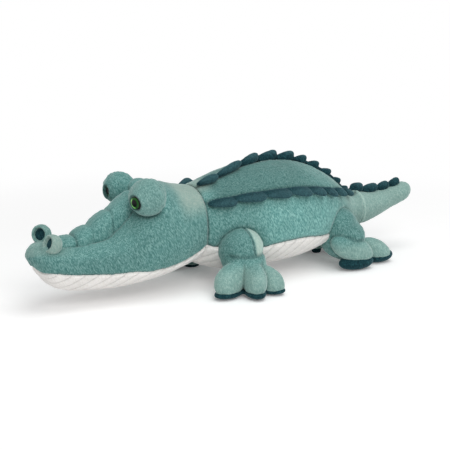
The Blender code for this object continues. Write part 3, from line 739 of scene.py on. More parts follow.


# The material slots and their materials
FINISHES = {
    # The fourth colour of each plush is the colour of its painted sheen.
    "teal_plush": plush_material(
        "teal_plush_pile",
        (0.064, 0.190, 0.180),
        (0.124, 0.290, 0.272),
        (0.232, 0.430, 0.405),
        (0.372, 0.474, 0.417),
        tint=(0.80, 0.95, 0.92),
    ),
    "dark_velour": plush_material(
        "dark_velour_pile",
        (0.004, 0.022, 0.030),
        (0.008, 0.042, 0.052),
        (0.022, 0.086, 0.099),
        (0.075, 0.170, 0.190),
        sheen=0.3,
        tint=(0.45, 0.75, 0.85),
    ),
    "cream_plush": plush_material(
        "cream_ribbed_pile",
        (0.80, 0.76, 0.72),
        (0.92, 0.89, 0.86),
        (0.96, 0.94, 0.92),
        (0.96, 0.94, 0.92),
        spread=0.20,
        sheen=0.4,
    ),
    "washer_plastic": washer_material("washer_plastic"),
    "eye_plastic": eye_material("eye_clear_plastic"),
}


def dress(obj, slot, body, *nodes, fill=None):
    """Finishes a piece: its material, the nodes it stands for, and the body it moves with. A piece given
    a bend keeps its place baked into its mesh.
    """
    obj.data.materials.clear()
    obj.data.materials.append(FINISHES[slot])
    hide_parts(*nodes)
    if isinstance(body, str):
        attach(obj, body)
    else:
        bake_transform(obj)


# Legs: their forms come first, because the torso has a crease round each of them


HEEL_ACROSS_SHARE = 0.8
HIP_INSET = 0.004
LEG_STEP = 0.0010
SOLE_STEP = 0.0009
# How widely the forms run together: toe into foot, foot into thigh, and pad into pad
TOE_BLEND, ANKLE_BLEND, PAD_BLEND = 0.0026, 0.0035, 0.0045
FOLD_DEPTH = 0.0016
LEG_SEAM_DEPTH = 0.0010
CLEFT_DEPTH = 0.0014
# A toe's row: how far it is behind and outside the heel, the way it points, its half length, half
# width and half height, its lift, its slope and its pad's share of its length. The ways are in degrees
# from straight ahead. A fold height below the floor stands for a foot without a fold.
LEGS = {
    "front": {
        "along": 0.0282, "height": 0.041, "heel_along": 0.0015, "heel_out": 0.0115,
        "heel_radius": 0.0182, "heel_half_height": 0.0205, "heel_pad": 0.40,
        "toes": (
            (-0.0205, 0.0040, 13, 0.0180, 0.0112, 0.0140, 0.0016, 27, 0.86),
            (-0.0018, 0.0140, 75, 0.0172, 0.0106, 0.0142, 0.0014, 26, 0.86),
            (0.0138, 0.0134, 130, 0.0160, 0.0096, 0.0118, 0.0004, 36, 0.84),
        ),
        "top": (0.0015, 0.0, -0.0035), "top_radius": 0.0206,
        "ankle": (0.0020, 0.004, -0.016), "ankle_radius": 0.0190,
        "fold_height": 0.0352, "toe_fold": 0.0, "skin_low": 0.0030,
        "seam_from": (0.0030, 0.012, 0.020), "seam_to": (0.0040, 0.021, -0.006),
    },
    "hind": {
        "along": 0.1535, "height": 0.0375, "heel_along": 0.0095, "heel_out": -0.001,
        "heel_radius": 0.0145, "heel_half_height": 0.013, "heel_pad": 0.36,
        "toes": (
            (-0.0092, 0.0158, 172, 0.0245, 0.0104, 0.0122, 0.0090, 24, 0.76),
            (0.0272, 0.0065, 168, 0.0195, 0.0110, 0.0110, 0.0010, 30, 0.84),
            (0.0190, -0.0050, 188, 0.0150, 0.0105, 0.0120, 0.0, 16, 0.80),
        ),
        "top": (-0.0045, 0.000, 0.0044), "top_radius": 0.0176,
        "ankle": (-0.0003, 0.000, -0.0070), "ankle_radius": 0.0222,
        "fold_height": -0.1, "toe_fold": 1.0, "skin_low": 0.0062,
        "seam_from": (0.004, 0.010, 0.021), "seam_to": (0.0235, 0.014, -0.010),
    },
}


class Leg:
    """The places and the fields of one leg and its sole."""

    def __init__(self, end, side):
        sizes = LEGS[end]
        self.sizes = sizes
        self.side = side
        half = float(torso_body().section(sizes["along"])[0])
        self.hip = Vector((NECK_X + sizes["along"], side * (half - HIP_INSET), sizes["height"]))
        along, across = self.hip.x + sizes["heel_along"], self.hip.y + side * sizes["heel_out"]
        self.heel = Vector((along, across, sizes["heel_half_height"]))
        self.toes = []
        for behind, out, way, *radii, lift, slope, pad in sizes["toes"]:
            angle = math.radians(way)
            direction = Vector((-math.cos(angle), side * math.sin(angle), 0))
            centre = self.heel + Vector((behind, side * out, 0))
            centre.z = radii[2] + lift
            flat = Matrix.Rotation(math.atan2(direction.y, direction.x), 4, "Z")
            spin = flat @ Matrix.Rotation(math.radians(slope), 4, "Y")
            self.toes.append((centre, flat, spin, radii, pad))

    def place(self, name):
        along, out, up = self.sizes[name]
        return self.hip + Vector((along, self.side * out, up))

    def thigh(self, points):
        top, ankle = self.sizes["top_radius"], self.sizes["ankle_radius"]
        return rod(points, self.place("top"), self.place("ankle"), top, ankle)

    def foot(self, points):
        radius = self.sizes["heel_radius"]
        radii = (radius, radius * HEEL_ACROSS_SHARE, self.sizes["heel_half_height"])
        field = oval(points, self.heel, radii)
        for centre, _, spin, radii, _ in self.toes:
            field = joined(field, oval(points, centre, radii, spin), TOE_BLEND)
        return field

    def skin(self, points):
        field = joined(self.thigh(points), self.foot(points), ANKLE_BLEND)
        return shared(field, self.sizes["skin_low"] - points[:, 2], 0.0030)

    def crease(self, points):
        """How near a point is to the fold over the foot."""
        outer = between(self.side * (points[:, 1] - self.hip.y), 0.004, 0.012)
        return bump(points[:, 2] - self.sizes["fold_height"], 0.0017) * outer

    def clefts(self, points):
        """How near a point is to a fold between two toes, or between the thigh and the outer toe."""
        toes = [oval(points, centre, radii, spin) for centre, _, spin, radii, _ in self.toes]
        folds = (
            (toes[0], toes[1], 1),
            (toes[1], toes[2], 1),
            (self.thigh(points), toes[0], self.sizes["toe_fold"]),
        )
        near = np.zeros(len(points))
        for one, two, share in folds:
            near = np.maximum(near, share * bump(one - two, 0.0013) * bump(np.minimum(one, two), 0.0034))
        return near

    def sole(self, points):
        radius = self.sizes["heel_radius"] * self.sizes["heel_pad"]
        thick = self.sizes["skin_low"] + 0.0012
        radii = (radius, radius * HEEL_ACROSS_SHARE, thick * 0.9)
        field = oval(points, (self.heel.x, self.heel.y, thick * 0.5), radii)
        for centre, flat, _, radii, pad in self.toes:
            back = flat.to_3x3().col[0] * radii[0] * 0.9 * (1 - pad)
            middle = Vector((centre.x, centre.y, thick * 0.95)) + back
            pad_radii = (radii[0] * pad, radii[1] * 0.86, thick)
            field = joined(field, oval(points, middle, pad_radii, flat), PAD_BLEND)
        return shared(field, -points[:, 2], 0.0010)

    def box(self, low, high):
        places = [self.hip + Vector((0, 0, 0.026)), self.hip, self.heel] + [toe[0] for toe in self.toes]
        places = np.array(places)
        first, last = places.min(axis=0) - 0.025, places.max(axis=0) + 0.025
        first[2], last[2] = low, min(last[2], high)
        return first, last


def make_leg(end, side):
    leg = Leg(end, side)
    name = f"{end}_{SIDE_NAMES[side]}"
    body = f"leg_{name}"
    obj = netted(f"{body}_padded", leg.skin, *leg.box(0.0, 0.075), LEG_STEP)

    def held(places):
        return np.maximum(leg.crease(places), between(0.010 - places[:, 2], 0, 0.003))

    # Painted shade in the fold over the foot.
    fold = leg.crease(points_of(obj))
    push(obj, -FOLD_DEPTH * fold)
    mark(obj, "crease_shade", fold * 0.55)
    swelled(obj, held, LEG_SWELL)
    points = points_of(obj)
    normals = normals_of(obj)
    upper, lower = np.array(leg.place("seam_from")), np.array(leg.place("seam_to"))
    share = np.clip((points[:, 2] - upper[2]) / (lower[2] - upper[2]), 0, 1)
    across = (points[:, 0] - upper[0]) - (lower[0] - upper[0]) * share
    above = between(points[:, 2], lower[2] - 0.002, lower[2] + 0.002)
    line = bump(across, 0.0011) * above
    # The sewn line is drawn in and painted with shade.
    push(obj, -LEG_SEAM_DEPTH * line)
    mark(obj, "crease_shade", line * 0.6)
    outer = between(side * (points[:, 1] - leg.hip.y), 0.0, 0.006)
    behind = between(across, 0.0008, 0.0022) * above * outer * between(normals[:, 0], -0.2, 0.3)
    # Painted light and painted sheen on the strip behind the sewn line.
    mark(obj, "pale", behind)
    mark(obj, "painted_light", behind)
    # Painted shade in the clefts between the toes.
    cleft = leg.clefts(points)
    push(obj, -CLEFT_DEPTH * cleft)
    mark(obj, "crease_shade", 0.55 * cleft)
    # Painted sheen and painted light on the lower toes; the thigh above them is darker.
    toes = between(leg.foot(points), 0.0012, 0.0002)
    low = toes * between(points[:, 2], 0.034, 0.020)
    mark(obj, "pale", low * 0.5)
    mark(obj, "painted_light", low * 0.36)
    mark(obj, "shade_and_tone", (1 - toes) * (1 - behind) * 0.35)
    pile(obj, lie=LEG_NAP, seed=17)
    dress(obj, "teal_plush", body, body, fill=0.85)
    sole = netted(f"sole_{name}_pad", leg.sole, *leg.box(0.0, 0.012), SOLE_STEP)
    pile(sole, 0.0002, 0.0014, seed=61)
    points = points_of(sole)
    points[:, 2] = np.maximum(points[:, 2], 0)
    set_points(sole, points)
    dress(sole, "dark_velour", body, f"sole_{name}", fill=0.7)


# Torso


def toward_neck(along):
    """1 at the neck, where the middle row of scutes lies turned and leans over, and 0 on the back."""
    return 1 - float(between(along, 0.010, 0.085))


def middle_angle(along):
    """The way round the body at which the middle row of scutes is sewn on."""
    return math.radians(-14) * toward_neck(along)


def middle_lean(along):
    return math.radians(56) * toward_neck(along)


RIB_PITCH = 0.0118
RIB_SLANT = 2.3
RIB_RISE = 0.0013
ROWS_TO_A_RIB = 14
PANEL_COLUMNS = 120
# How far a panel's middle stands above its edges, how deep its edges and its inner side lie under the
# line of the body, and how far the body's own skin makes room for it
PANEL_FULLNESS, PANEL_HEM, PANEL_BACK, PANEL_DIP = 0.0020, 0.0012, 0.004, 0.0016
PANEL_ROUND = 0.0016
HIP_DIP = 0.0012
RIM_NARROWING = 0.03
# A panel's first and last place along its body, and its edges: the share of its length, and how far
# round the body the edge is from the bottom, as a share of half a turn
BELLY = (
    -0.0015,
    0.168,
    (
        (0.0, 0.365), (0.05, 0.353), (0.28, 0.346), (0.36, 0.363), (0.46, 0.376),
        (0.57, 0.380), (0.71, 0.351), (0.87, 0.29), (1.0, 0.10),
    ),
)
JAW = (
    0.0025,
    0.158,
    (
        (0.0, 0.09), (0.013, 0.188), (0.06, 0.365), (0.148, 0.397), (0.272, 0.409), (0.397, 0.395),
        (0.529, 0.357), (0.65, 0.297), (0.86, 0.283), (0.938, 0.311), (1.0, 0.345),
    ),
)
# The side rows of scutes: the share of the torso's length, and how far round it is from the top
SIDE_ROW_SHARES = (
    (0.00, 0.282), (0.10, 0.288), (0.25, 0.296), (0.45, 0.302), (0.62, 0.304),
    (0.74, 0.290), (0.84, 0.245), (0.93, 0.165), (1.00, 0.10),
)


def rim_drawn_in(distance, width=0.004):
    """How much of its section a body keeps near a sewn end."""
    return 1 - RIM_NARROWING * np.clip(1 - distance / width, 0, 1) ** 2


def loft(name, body, count, around, drawn=None):
    """A body's skin. Where drawn(along) is below 1, its sections are that much smaller."""
    along = body.rings(count)
    angle = (2 * math.pi * np.arange(around) / around)[None, :]
    grid = body.point(along[:, None], angle)
    if drawn is not None:
        middle = np.stack((body.start + along, 0 * along, body.section(along)[2]), axis=-1)
        grid = middle[:, None] + (grid - middle[:, None]) * drawn(along)[:, None, None]
    return new_object(name, skin_of(grid))


def panel_edges(body, places, first, last, edges):
    """The paths of a panel's two edges on the body."""
    for side in (LEFT, RIGHT):
        angle = math.pi + side * math.pi * along_table(edges, places)[0]
        yield body.point(first + (last - first) * places, angle)


def panel(name, body, first, last, edges):
    """A panel with slanting ribs under a body. Its edges dip under the skin round it."""
    ribs = round((last - first) / RIB_PITCH)
    count = ribs * ROWS_TO_A_RIB
    share = np.linspace(0, 1, count + 1)
    along = first + (last - first) * share
    half = math.pi * along_table(edges, share)[0]
    across = np.linspace(-1, 1, PANEL_COLUMNS + 1)
    angle = math.pi + half[:, None] * across[None, :]
    phase = share[:, None] * ribs - RIB_SLANT * np.abs(across[None, :]) ** 1.6
    swell = 1 - np.abs(2 * (phase % 1) - 1) ** 3.2
    inward = (1 - np.abs(across))[None, :] * half[:, None] * 0.035
    edge = np.minimum(inward, PANEL_ROUND) / PANEL_ROUND
    ends = np.clip(np.minimum(share, 1 - share) / 0.012, 0, 1)[:, None]
    lift = -PANEL_HEM + (PANEL_FULLNESS + RIB_RISE * (swell - 0.5)) * np.sqrt(edge * ends)
    outer = body.point(along[:, None], angle, lift)
    inner = body.point(along[:, None], angle[:, ::-1], -PANEL_BACK)
    obj = new_object(name, skin_of(np.concatenate((outer, inner), axis=1), plate=True))
    # Painted shade in the grooves between the ribs.
    groove = np.zeros((count + 1, 2 * len(across)))
    groove[:, : len(across)] = 0.44 * (1 - swell) ** 2.5
    if groove.size == len(obj.data.vertices):
        mark(obj, "crease_shade", groove.ravel())
    pile(obj, 0.00028, 0.0015, seed=31)
    return obj


def under_panel(body, points, first, last, edges):
    """1 well inside the edges of a panel, under it, and 0 outside them."""
    share = (points[:, 0] - body.start - first) / (last - first)
    half = math.pi * along_table(edges, share)[0]
    inside = half - (math.pi - body.angle_of(points))
    return between(inside, 0.02, 0.09) * between(share, -0.01, 0.01) * between(share, 1.01, 0.99)


def held_at(ends, paths):
    """A function that is 1 at the sewn ends of a skin and on its seams' paths, for its swelling."""

    def held(points):
        near = np.zeros(len(points))
        for end in ends:
            near = np.maximum(near, bump(points[:, 0] - end, 0.006))
        for path in paths:
            near = np.maximum(near, bump(from_path(points, path), 0.004))
        return near

    return held


def make_torso():
    body = torso_body()

    def drawn(along):
        return rim_drawn_in(along) * rim_drawn_in(TORSO_LENGTH - along, 0.003)

    obj = loft("torso_skin", body, 225, 320, drawn)
    places = np.linspace(0, 1, 180)
    paths = [np.array([body.point(along, middle_angle(along)) for along in places * TORSO_LENGTH])]
    for side, belly_edge in zip((LEFT, RIGHT), panel_edges(body, places, *BELLY)):
        angle = side * math.pi * along_table(SIDE_ROW_SHARES, places)[0]
        paths += [body.point(places * TORSO_LENGTH, angle), belly_edge]
    paths = [path[::2] for path in paths]
    swelled(obj, held_at((NECK_X, TAIL_X), paths), TORSO_SWELL)
    points = points_of(obj)
    # Each sewn path is drawn in and painted with shade along it.
    for path in paths:
        sew(obj, from_path(points, path), 0.0020, 0.0012)
    for leg in [Leg(end, side) for end in LEGS for side in (LEFT, RIGHT)]:
        # Painted shade in the crease round each leg and beside it.
        away = leg.thigh(points)
        push(obj, -HIP_DIP * bump(away, 0.0022))
        mark(obj, "crease_shade", 0.5 * bump(away, 0.0014))
        mark(obj, "shade_and_tone", 0.6 * bump(away, 0.0060))
    push(obj, -PANEL_DIP * under_panel(body, points, *BELLY))
    # Painted shade in the crease at the neck.
    mark(obj, "crease_shade", 0.8 * bump(points[:, 0] - NECK_X, 0.0010))
    along = points[:, 0] - NECK_X
    share = along / TORSO_LENGTH
    angle = body.angle_of(points) / math.pi
    row = along_table(SIDE_ROW_SHARES, share)[0]
    # Painted shade on the back between the rows, painted light on the flank below the side rows, and
    # painted sheen towards the tail and on the top by the neck.
    back, flank = between(row - angle, 0.0, 0.02), between(angle, row, row + 0.05)
    mark(obj, "shade_and_tone", back * between(share, 0.80, 0.45) * between(share, 0.02, 0.10))
    mark(obj, "painted_light", flank * between(share, 0.16, 0.38) * between(share, 1.0, 0.8))
    mark(obj, "pale", between(share, 0.70, 0.95) * 0.55)
    mark(obj, "pale", between(share, 0.09, 0.03) * between(angle, 0.22, 0.10) * 0.8)
    pile(obj)
    dress(obj, "teal_plush", NECK_BEND, "torso", fill=0.85)
    belly = panel("belly_panel_ribs", body, *BELLY)
    dress(belly, "cream_plush", NECK_BEND, "belly_panel", fill=0.5)


# Scutes


# Of the body's length: where the scutes meet, and how far they stand out
MIDDLE_BOUNDS = (
    0.0020, 0.0200, 0.0470, 0.0702, 0.0930, 0.1118, 0.1258, 0.1410, 0.1555, 0.1670, 0.1765,
)
MIDDLE_HEIGHTS = (0.0104, 0.0098, 0.0088, 0.0086, 0.0084, 0.0080, 0.0076, 0.0074, 0.0070, 0.0062)
SIDE_BOUNDS = (0.0030, 0.0262, 0.0530, 0.0782, 0.1010, 0.1190, 0.1350, 0.1500, 0.1650)
SIDE_HEIGHTS = (0.0106, 0.0108, 0.0112, 0.0114, 0.0112, 0.0110, 0.0106, 0.0094)
RIGHT_ROW_START = 0.0066
RIGHT_ROW_HEIGHT = 0.0128
TAIL_BOUNDS = (-0.0055, 0.0100, 0.0295, 0.0445, 0.0590)
TAIL_HEIGHTS = (0.0088, 0.0086, 0.0080, 0.0066)
LOBE_POWER = 2.7
# How far a scute goes down into its seat
LOBE_ROOT = 0.0018
SCUTE_VOXEL = 0.0007


def lobe(seat, forward, stand, length, height, thick, fullest):
    """A padded scute like a leaf, thin in front and fullest behind its middle, on its seat."""
    turn = np.array((forward, np.cross(stand, forward), stand))
    mesh = ball((0, 0, 0), 1, 32)
    x, y, z = np.array([v.co for v in mesh.vertices]).T
    blunt = (np.abs(x) ** LOBE_POWER + np.abs(z) ** LOBE_POWER) ** (1 / LOBE_POWER)
    round_off = np.maximum(np.hypot(x, z), 1e-6) / np.maximum(blunt, 1e-6)
    x, z = x * round_off, z * round_off
    fuller = (0.78 + fullest * x) / (0.78 + 0.35 * fullest)
    shaped = np.stack((x * length / 2, y * thick / 2 * fuller, (z + 1) / 2 * height * fuller), axis=-1)
    mesh.vertices.foreach_set("co", (shaped @ turn + seat).astype(np.float32).ravel())
    return mesh


def scute_row(
    name, body, bounds, heights, angle_at, lean_at, fullest, thick=0.0066, overlap=1.14, band=0.0022
):
    """A row of padded scutes between these places along a body, on a narrow sewn band.

    The row runs at angle_at(along) round the body and leans over towards its side by lean_at(along).
    """

    def axes(along):
        """The place on the body, its normal, the way of the row and the way a scute stands."""
        angle, lean = angle_at(along), lean_at(along)
        normal = body.normal(along, angle)
        before, after = (body.point(at, angle_at(at)) for at in (along - 0.001, along + 0.001))
        forward = unit(after - before)
        down = unit(np.cross(normal, forward)) * (1 if angle > 0 else -1)
        stand = unit(normal * math.cos(lean) + down * math.sin(lean))
        return body.point(along, angle), normal, forward, stand

    meshes = []
    for height, start, end in zip(heights, bounds, bounds[1:]):
        length = (end - start) * (overlap - 0.16 * float(between(end, 0.115, 0.135)))
        seat, normal, forward, stand = axes(end - length / 2 + 0.0012)
        seat = seat + normal * thick * (0.30 * math.sin(lean_at(end))) - stand * LOBE_ROOT
        meshes.append(lobe(seat, forward, stand, length, height + LOBE_ROOT, thick, fullest))
    strip, seats = [], []
    turn = np.linspace(0, 2 * math.pi, 12, endpoint=False)[:, None]
    for along in np.linspace(bounds[0], bounds[-1], 120):
        seat, normal, forward, stand = axes(along)
        seats.append(seat)
        flat = unit(np.cross(stand, forward))
        taper = min(1.0, min(along - bounds[0], bounds[-1] - along) / 0.004 + 0.25)
        centre = seat + normal * 0.0010 + stand * 0.0006
        strip.append(centre + (flat * np.cos(turn) * 0.0021 + stand * np.sin(turn) * band) * taper)
    meshes.append(skin_of(strip))
    obj = fused(name, meshes, SCUTE_VOXEL, 2)
    points = points_of(obj)
    # Painted sheen on the scutes' outer edges, and painted shade where two scutes meet.
    mark(obj, "pale", between(from_path(points, seats), 0.0050, 0.0088) * 0.45)
    for along in bounds[1:-1]:
        mark(obj, "shade_and_tone", bump(np.linalg.norm(points - axes(along)[0], axis=1), 0.0050))
    pile(obj, 0.00018, 0.0013, seed=51)
    return obj


def make_scutes():
    torso = torso_body()
    obj = scute_row(
        "scute_row_middle_padded",
        torso,
        MIDDLE_BOUNDS,
        MIDDLE_HEIGHTS,
        middle_angle,
        middle_lean,
        fullest=0.3,
        thick=0.0084,
    )
    dress(obj, "dark_velour", NECK_BEND, "scute_row_middle", fill=0.8)
    for side in (LEFT, RIGHT):
        name = f"scute_row_{SIDE_NAMES[side]}"

        def angle_at(along, side=side):
            return side * math.pi * float(along_table(SIDE_ROW_SHARES, along / TORSO_LENGTH)[0])

        def lean_at(along, side=side):
            raised = 55 * (1 - float(between(along, 0.016, 0.045))) if side == RIGHT else 0
            return math.radians(62 - raised)

        bounds, heights = list(SIDE_BOUNDS), list(SIDE_HEIGHTS)
        if side == RIGHT:
            bounds[0], heights[0] = RIGHT_ROW_START, RIGHT_ROW_HEIGHT
        obj = scute_row(f"{name}_padded", torso, bounds, heights, angle_at, lean_at, fullest=0.2)
        # The side rows are a darker colour all over.
        mark(obj, "shade_and_tone", 0.3)
        dress(obj, "dark_velour", NECK_BEND, name, fill=0.8)
    obj = scute_row(
        "tail_scute_row_padded",
        tail_body(),
        TAIL_BOUNDS,
        TAIL_HEIGHTS,
        lambda along: 0.0,
        lambda along: 0.0,
        fullest=0.12,
        thick=0.0090,
        overlap=1.02,
        band=0.0018,
    )
    dress(obj, "dark_velour", TAIL_BEND, "tail_scute_row", fill=0.8)


# Head


RIDGE_BOUNDS = (0.0235, 0.0415, 0.0570, 0.0755, 0.1040)
# Along the head: the ridge's half width, bottom, widest place and top
RIDGE_ROWS = (
    (0.0235, 0.0085, 0.045, 0.0510, 0.0590),
    (0.0415, 0.0108, 0.046, 0.0535, 0.0622),
    (0.0570, 0.0108, 0.046, 0.0570, 0.0695),
    (0.0755, 0.0122, 0.050, 0.0650, 0.0810),
    (0.0880, 0.0136, 0.060, 0.0750, 0.0888),
    (0.1040, 0.0120, 0.075, 0.0880, 0.0990),
)
# How far each swelling of the ridge rises, and how deep the crease is at each of its bounds, which also
# sets how much shade is painted into that crease
RIDGE_SWELLS = (0.0027, 0.0027, 0.0024, 0.0012)
RIDGE_CREASES = (0, 0.65, 0.15, 0.45, 0)
DOME_FROM_NOSE = 0.1012
DOME_APART = 0.0540
DOME_LIFT = 0.0106
DOME_RADII = {LEFT: 0.0158, RIGHT: 0.0148}
# The near dome is stuffed a little fuller and higher than its seat
DOME_SKINS = {LEFT: (0.0163, 0.0015), RIGHT: (0.0147, 0.0)}
EYE_RADIUS = 0.006
EYE_BULGE = 0.0034
SHANK_RADIUS = 0.0024
SHANK_END = 0.0105
EYE_SUNKS = {LEFT: 0.0012, RIGHT: 0.0040}
EYE_TURNS = {LEFT: (math.radians(17), math.radians(4)), RIGHT: (math.radians(-10), math.radians(6))}
# Half the height and half the width of each eye's hole in the pile, and its depth
SOCKETS = {LEFT: (0.0061, 0.0061, 0.0022), RIGHT: (0.0052, 0.0038, 0.0044)}
NOSTRIL_STEP = 0.0006
NOSTRIL_RADIUS = 0.0088
NOSTRIL_BORE = 0.0055
NOSTRIL_APART = 0.026
NOSTRIL_FROM_NOSE = {LEFT: 0.0172, RIGHT: 0.0190}
NOSTRIL_HEIGHTS = {LEFT: 0.0605, RIGHT: 0.0634}
NOSTRIL_TURNS = {LEFT: math.radians(-8), RIGHT: math.radians(36)}
NOSTRIL_RISES = {LEFT: math.radians(22), RIGHT: math.radians(14)}


def dome_centre(side):
    surface = float(head_body().top_at(DOME_FROM_NOSE, DOME_APART / 2))
    return Vector((NOSE_X + DOME_FROM_NOSE, side * DOME_APART / 2, surface + DOME_LIFT))


def eye_frame(side):
    outward, down = EYE_TURNS[side]
    turn = Matrix.Rotation(side * (math.pi - outward), 4, "Z")
    return Matrix.Translation(dome_centre(side)) @ turn @ Matrix.Rotation(math.pi / 2 + down, 4, "Y")


def nostril_frame(side):
    """The middle of a nostril, with its Z axis out of the bore."""
    centre = Vector((NOSE_X + NOSTRIL_FROM_NOSE[side], side * NOSTRIL_APART / 2, NOSTRIL_HEIGHTS[side]))
    turn = Matrix.Rotation(side * (math.pi + NOSTRIL_TURNS[side]), 4, "Z")
    return Matrix.Translation(centre) @ turn @ Matrix.Rotation(math.pi / 2 - NOSTRIL_RISES[side], 4, "Y")


def local_to(matrix, points):
    return (points - np.array(matrix.translation)) @ np.array(matrix.to_3x3())


def ridge_body():
    return Stuffed(NOSE_X, RIDGE_ROWS, round_start=0.006, round_end=0.010, squareness=2.7)


def make_head():
    body = head_body()
    obj = loft("head_skin", body, 200, 300, lambda along: rim_drawn_in(HEAD_LENGTH - along, 0.005))
    edges = list(panel_edges(body, np.linspace(0, 1, 90), *JAW))
    swelled(obj, held_at((NECK_X,), edges), HEAD_SWELL)
    points = points_of(obj)
    along = points[:, 0] - NOSE_X
    upper = points[:, 2] > body.section(along)[2]
    ridge_half = ridge_body().section(along)[0]
    in_ridge = between(along, RIDGE_BOUNDS[0], 0.030) * between(along, 0.100, 0.090) * upper
    # Painted shade in the valley beside the ridge.
    valley = bump(np.abs(points[:, 1]) - ridge_half - 0.0004, 0.0022) * in_ridge
    push(obj, -0.0012 * valley)
    mark(obj, "crease_shade", 0.6 * valley)
    for side in (LEFT, RIGHT):
        centre = np.array(dome_centre(side))
        away = np.linalg.norm(points - centre, axis=1) - DOME_RADII[side]
        toward = unit(points - centre)
        behind = between(toward[:, 0] + 0.5 * toward[:, 2], -0.1, 0.5)
        push(obj, bump(away, 0.0095) * 0.0052 * behind * upper)
        # Painted shade in the crease in front of and under each dome.
        mark(obj, "crease_shade", bump(away, 0.0012) * (1 - behind) * 0.8)
        mark(obj, "shade_and_tone", bump(away, 0.0040) * (1 - behind) * 0.5)
        # Painted shade round each nostril.
        middle = np.array(nostril_frame(side).translation)
        away = np.linalg.norm(points - middle, axis=1) - NOSTRIL_RADIUS
        mark(obj, "shade_and_tone", bump(away, 0.0030) * 0.6)
    # Each jaw edge is drawn in and painted with some shade.
    for path in edges:
        sew(obj, from_path(points, path), 0.0013, 0.0010, dark=0.5)
    push(obj, -PANEL_DIP * under_panel(body, points, *JAW))
    # Painted shade in the crease at the neck.
    mark(obj, "crease_shade", 0.8 * bump(points[:, 0] - NECK_X, 0.0010))
    # Painted sheen on the top behind the domes and on the top of the snout, and painted shade on the
    # snout's side.
    top = body.angle_of(points) / math.pi
    mark(obj, "pale", between(along, 0.124, 0.140) * between(top, 0.44, 0.24))
    mark(obj, "pale", between(along, 0.045, 0.010) * between(top, 0.45, 0.25) * 0.35)
    mark(obj, "shade_and_tone", between(along, 0.110, 0.080) * between(top, 0.36, 0.46) * 0.35)
    pile(obj, seed=5)
    dress(obj, "teal_plush", "head", "head", fill=0.85)
    jaw = panel("jaw_panel_ribs", body, *JAW)
    dress(jaw, "cream_plush", "head", "jaw_panel", fill=0.5)
    make_ridge()
    for side in (LEFT, RIGHT):
        make_dome(side)
        make_eye(side)
        make_nostril(side)


def make_ridge():
    body = ridge_body()
    obj = loft("snout_ridge_padded", body, 110, 120)
    points = points_of(obj)
    along = points[:, 0] - NOSE_X
    bounds = np.array(RIDGE_BOUNDS)
    slot = np.clip(np.searchsorted(bounds, along) - 1, 0, len(bounds) - 2)
    share = np.clip((along - bounds[slot]) / (bounds[slot + 1] - bounds[slot]), 0, 1)
    above = between(normals_of(obj)[:, 2], -0.6, 0.4)
    swell = np.array(RIDGE_SWELLS)[slot]
    push(obj, (np.sin(math.pi * share) ** 0.7 * swell - 0.0004) * above)
    crease = np.minimum(share, 1 - share) * (bounds[slot + 1] - bounds[slot])
    # Painted shade in the creases between the swellings.
    inner = (along > bounds[1] - 0.004) & (along < bounds[-2] + 0.004)
    nearest = np.abs(along[:, None] - bounds).argmin(axis=1)
    dark = np.array(RIDGE_CREASES)[nearest]
    sew(obj, np.where(inner, crease, 1.0), 0.0009, 0.0009 * dark, puff=0.2, dark=dark)
    pile(obj, seed=7)
    dress(obj, "teal_plush", "head", "snout_ridge", fill=0.7)


def make_dome(side):
    name = f"eye_dome_{SIDE_NAMES[side]}"
    radius, lift = DOME_SKINS[side]
    centre = dome_centre(side) + Vector((0, 0, lift))
    obj = new_object(f"{name}_padded", ball(centre, radius, 120))
    local = local_to(eye_frame(side), points_of(obj))
    high, wide, depth = SOCKETS[side]
    away = np.hypot(local[:, 0] / high, local[:, 1] / wide)
    front = local[:, 2] > 0
    dip = np.where(front, np.exp(-(away**8)), 0)
    collar = np.where(front, bump(away - 1.2, 0.27), 0)
    push(obj, -depth * dip + 0.0008 * collar)
    # Painted shade round the eye's hole, deeper round the far eye, and painted sheen on the near dome.
    mark(obj, "crease_shade", np.where(front, bump(away - 1.0, 0.15), 0))
    mark(obj, "shade_and_tone", np.where(front, bump(away - 1.0, 0.5), 0) * (side == RIGHT))
    mark(obj, "pale", 0.2 if side == LEFT else 0.0)
    pile(obj, 0.0007, 0.0013, seed=9)
    dress(obj, "teal_plush", "head", name, fill=0.8)


def turned(name, profile, matrix, steps=64):
    """A skin turned about its own Z from a profile that starts and ends on the axis."""
    turn = np.linspace(0, 2 * math.pi, steps, endpoint=False)
    radius, height = np.array(profile, float).T
    grid = np.stack(
        (
            radius[:, None] * np.cos(turn),
            radius[:, None] * np.sin(turn),
            np.repeat(height[:, None], steps, axis=1),
        ),
        axis=-1,
    )
    obj = new_object(name, skin_of(grid))
    obj.data.transform(matrix)
    obj.data.update()
    return obj


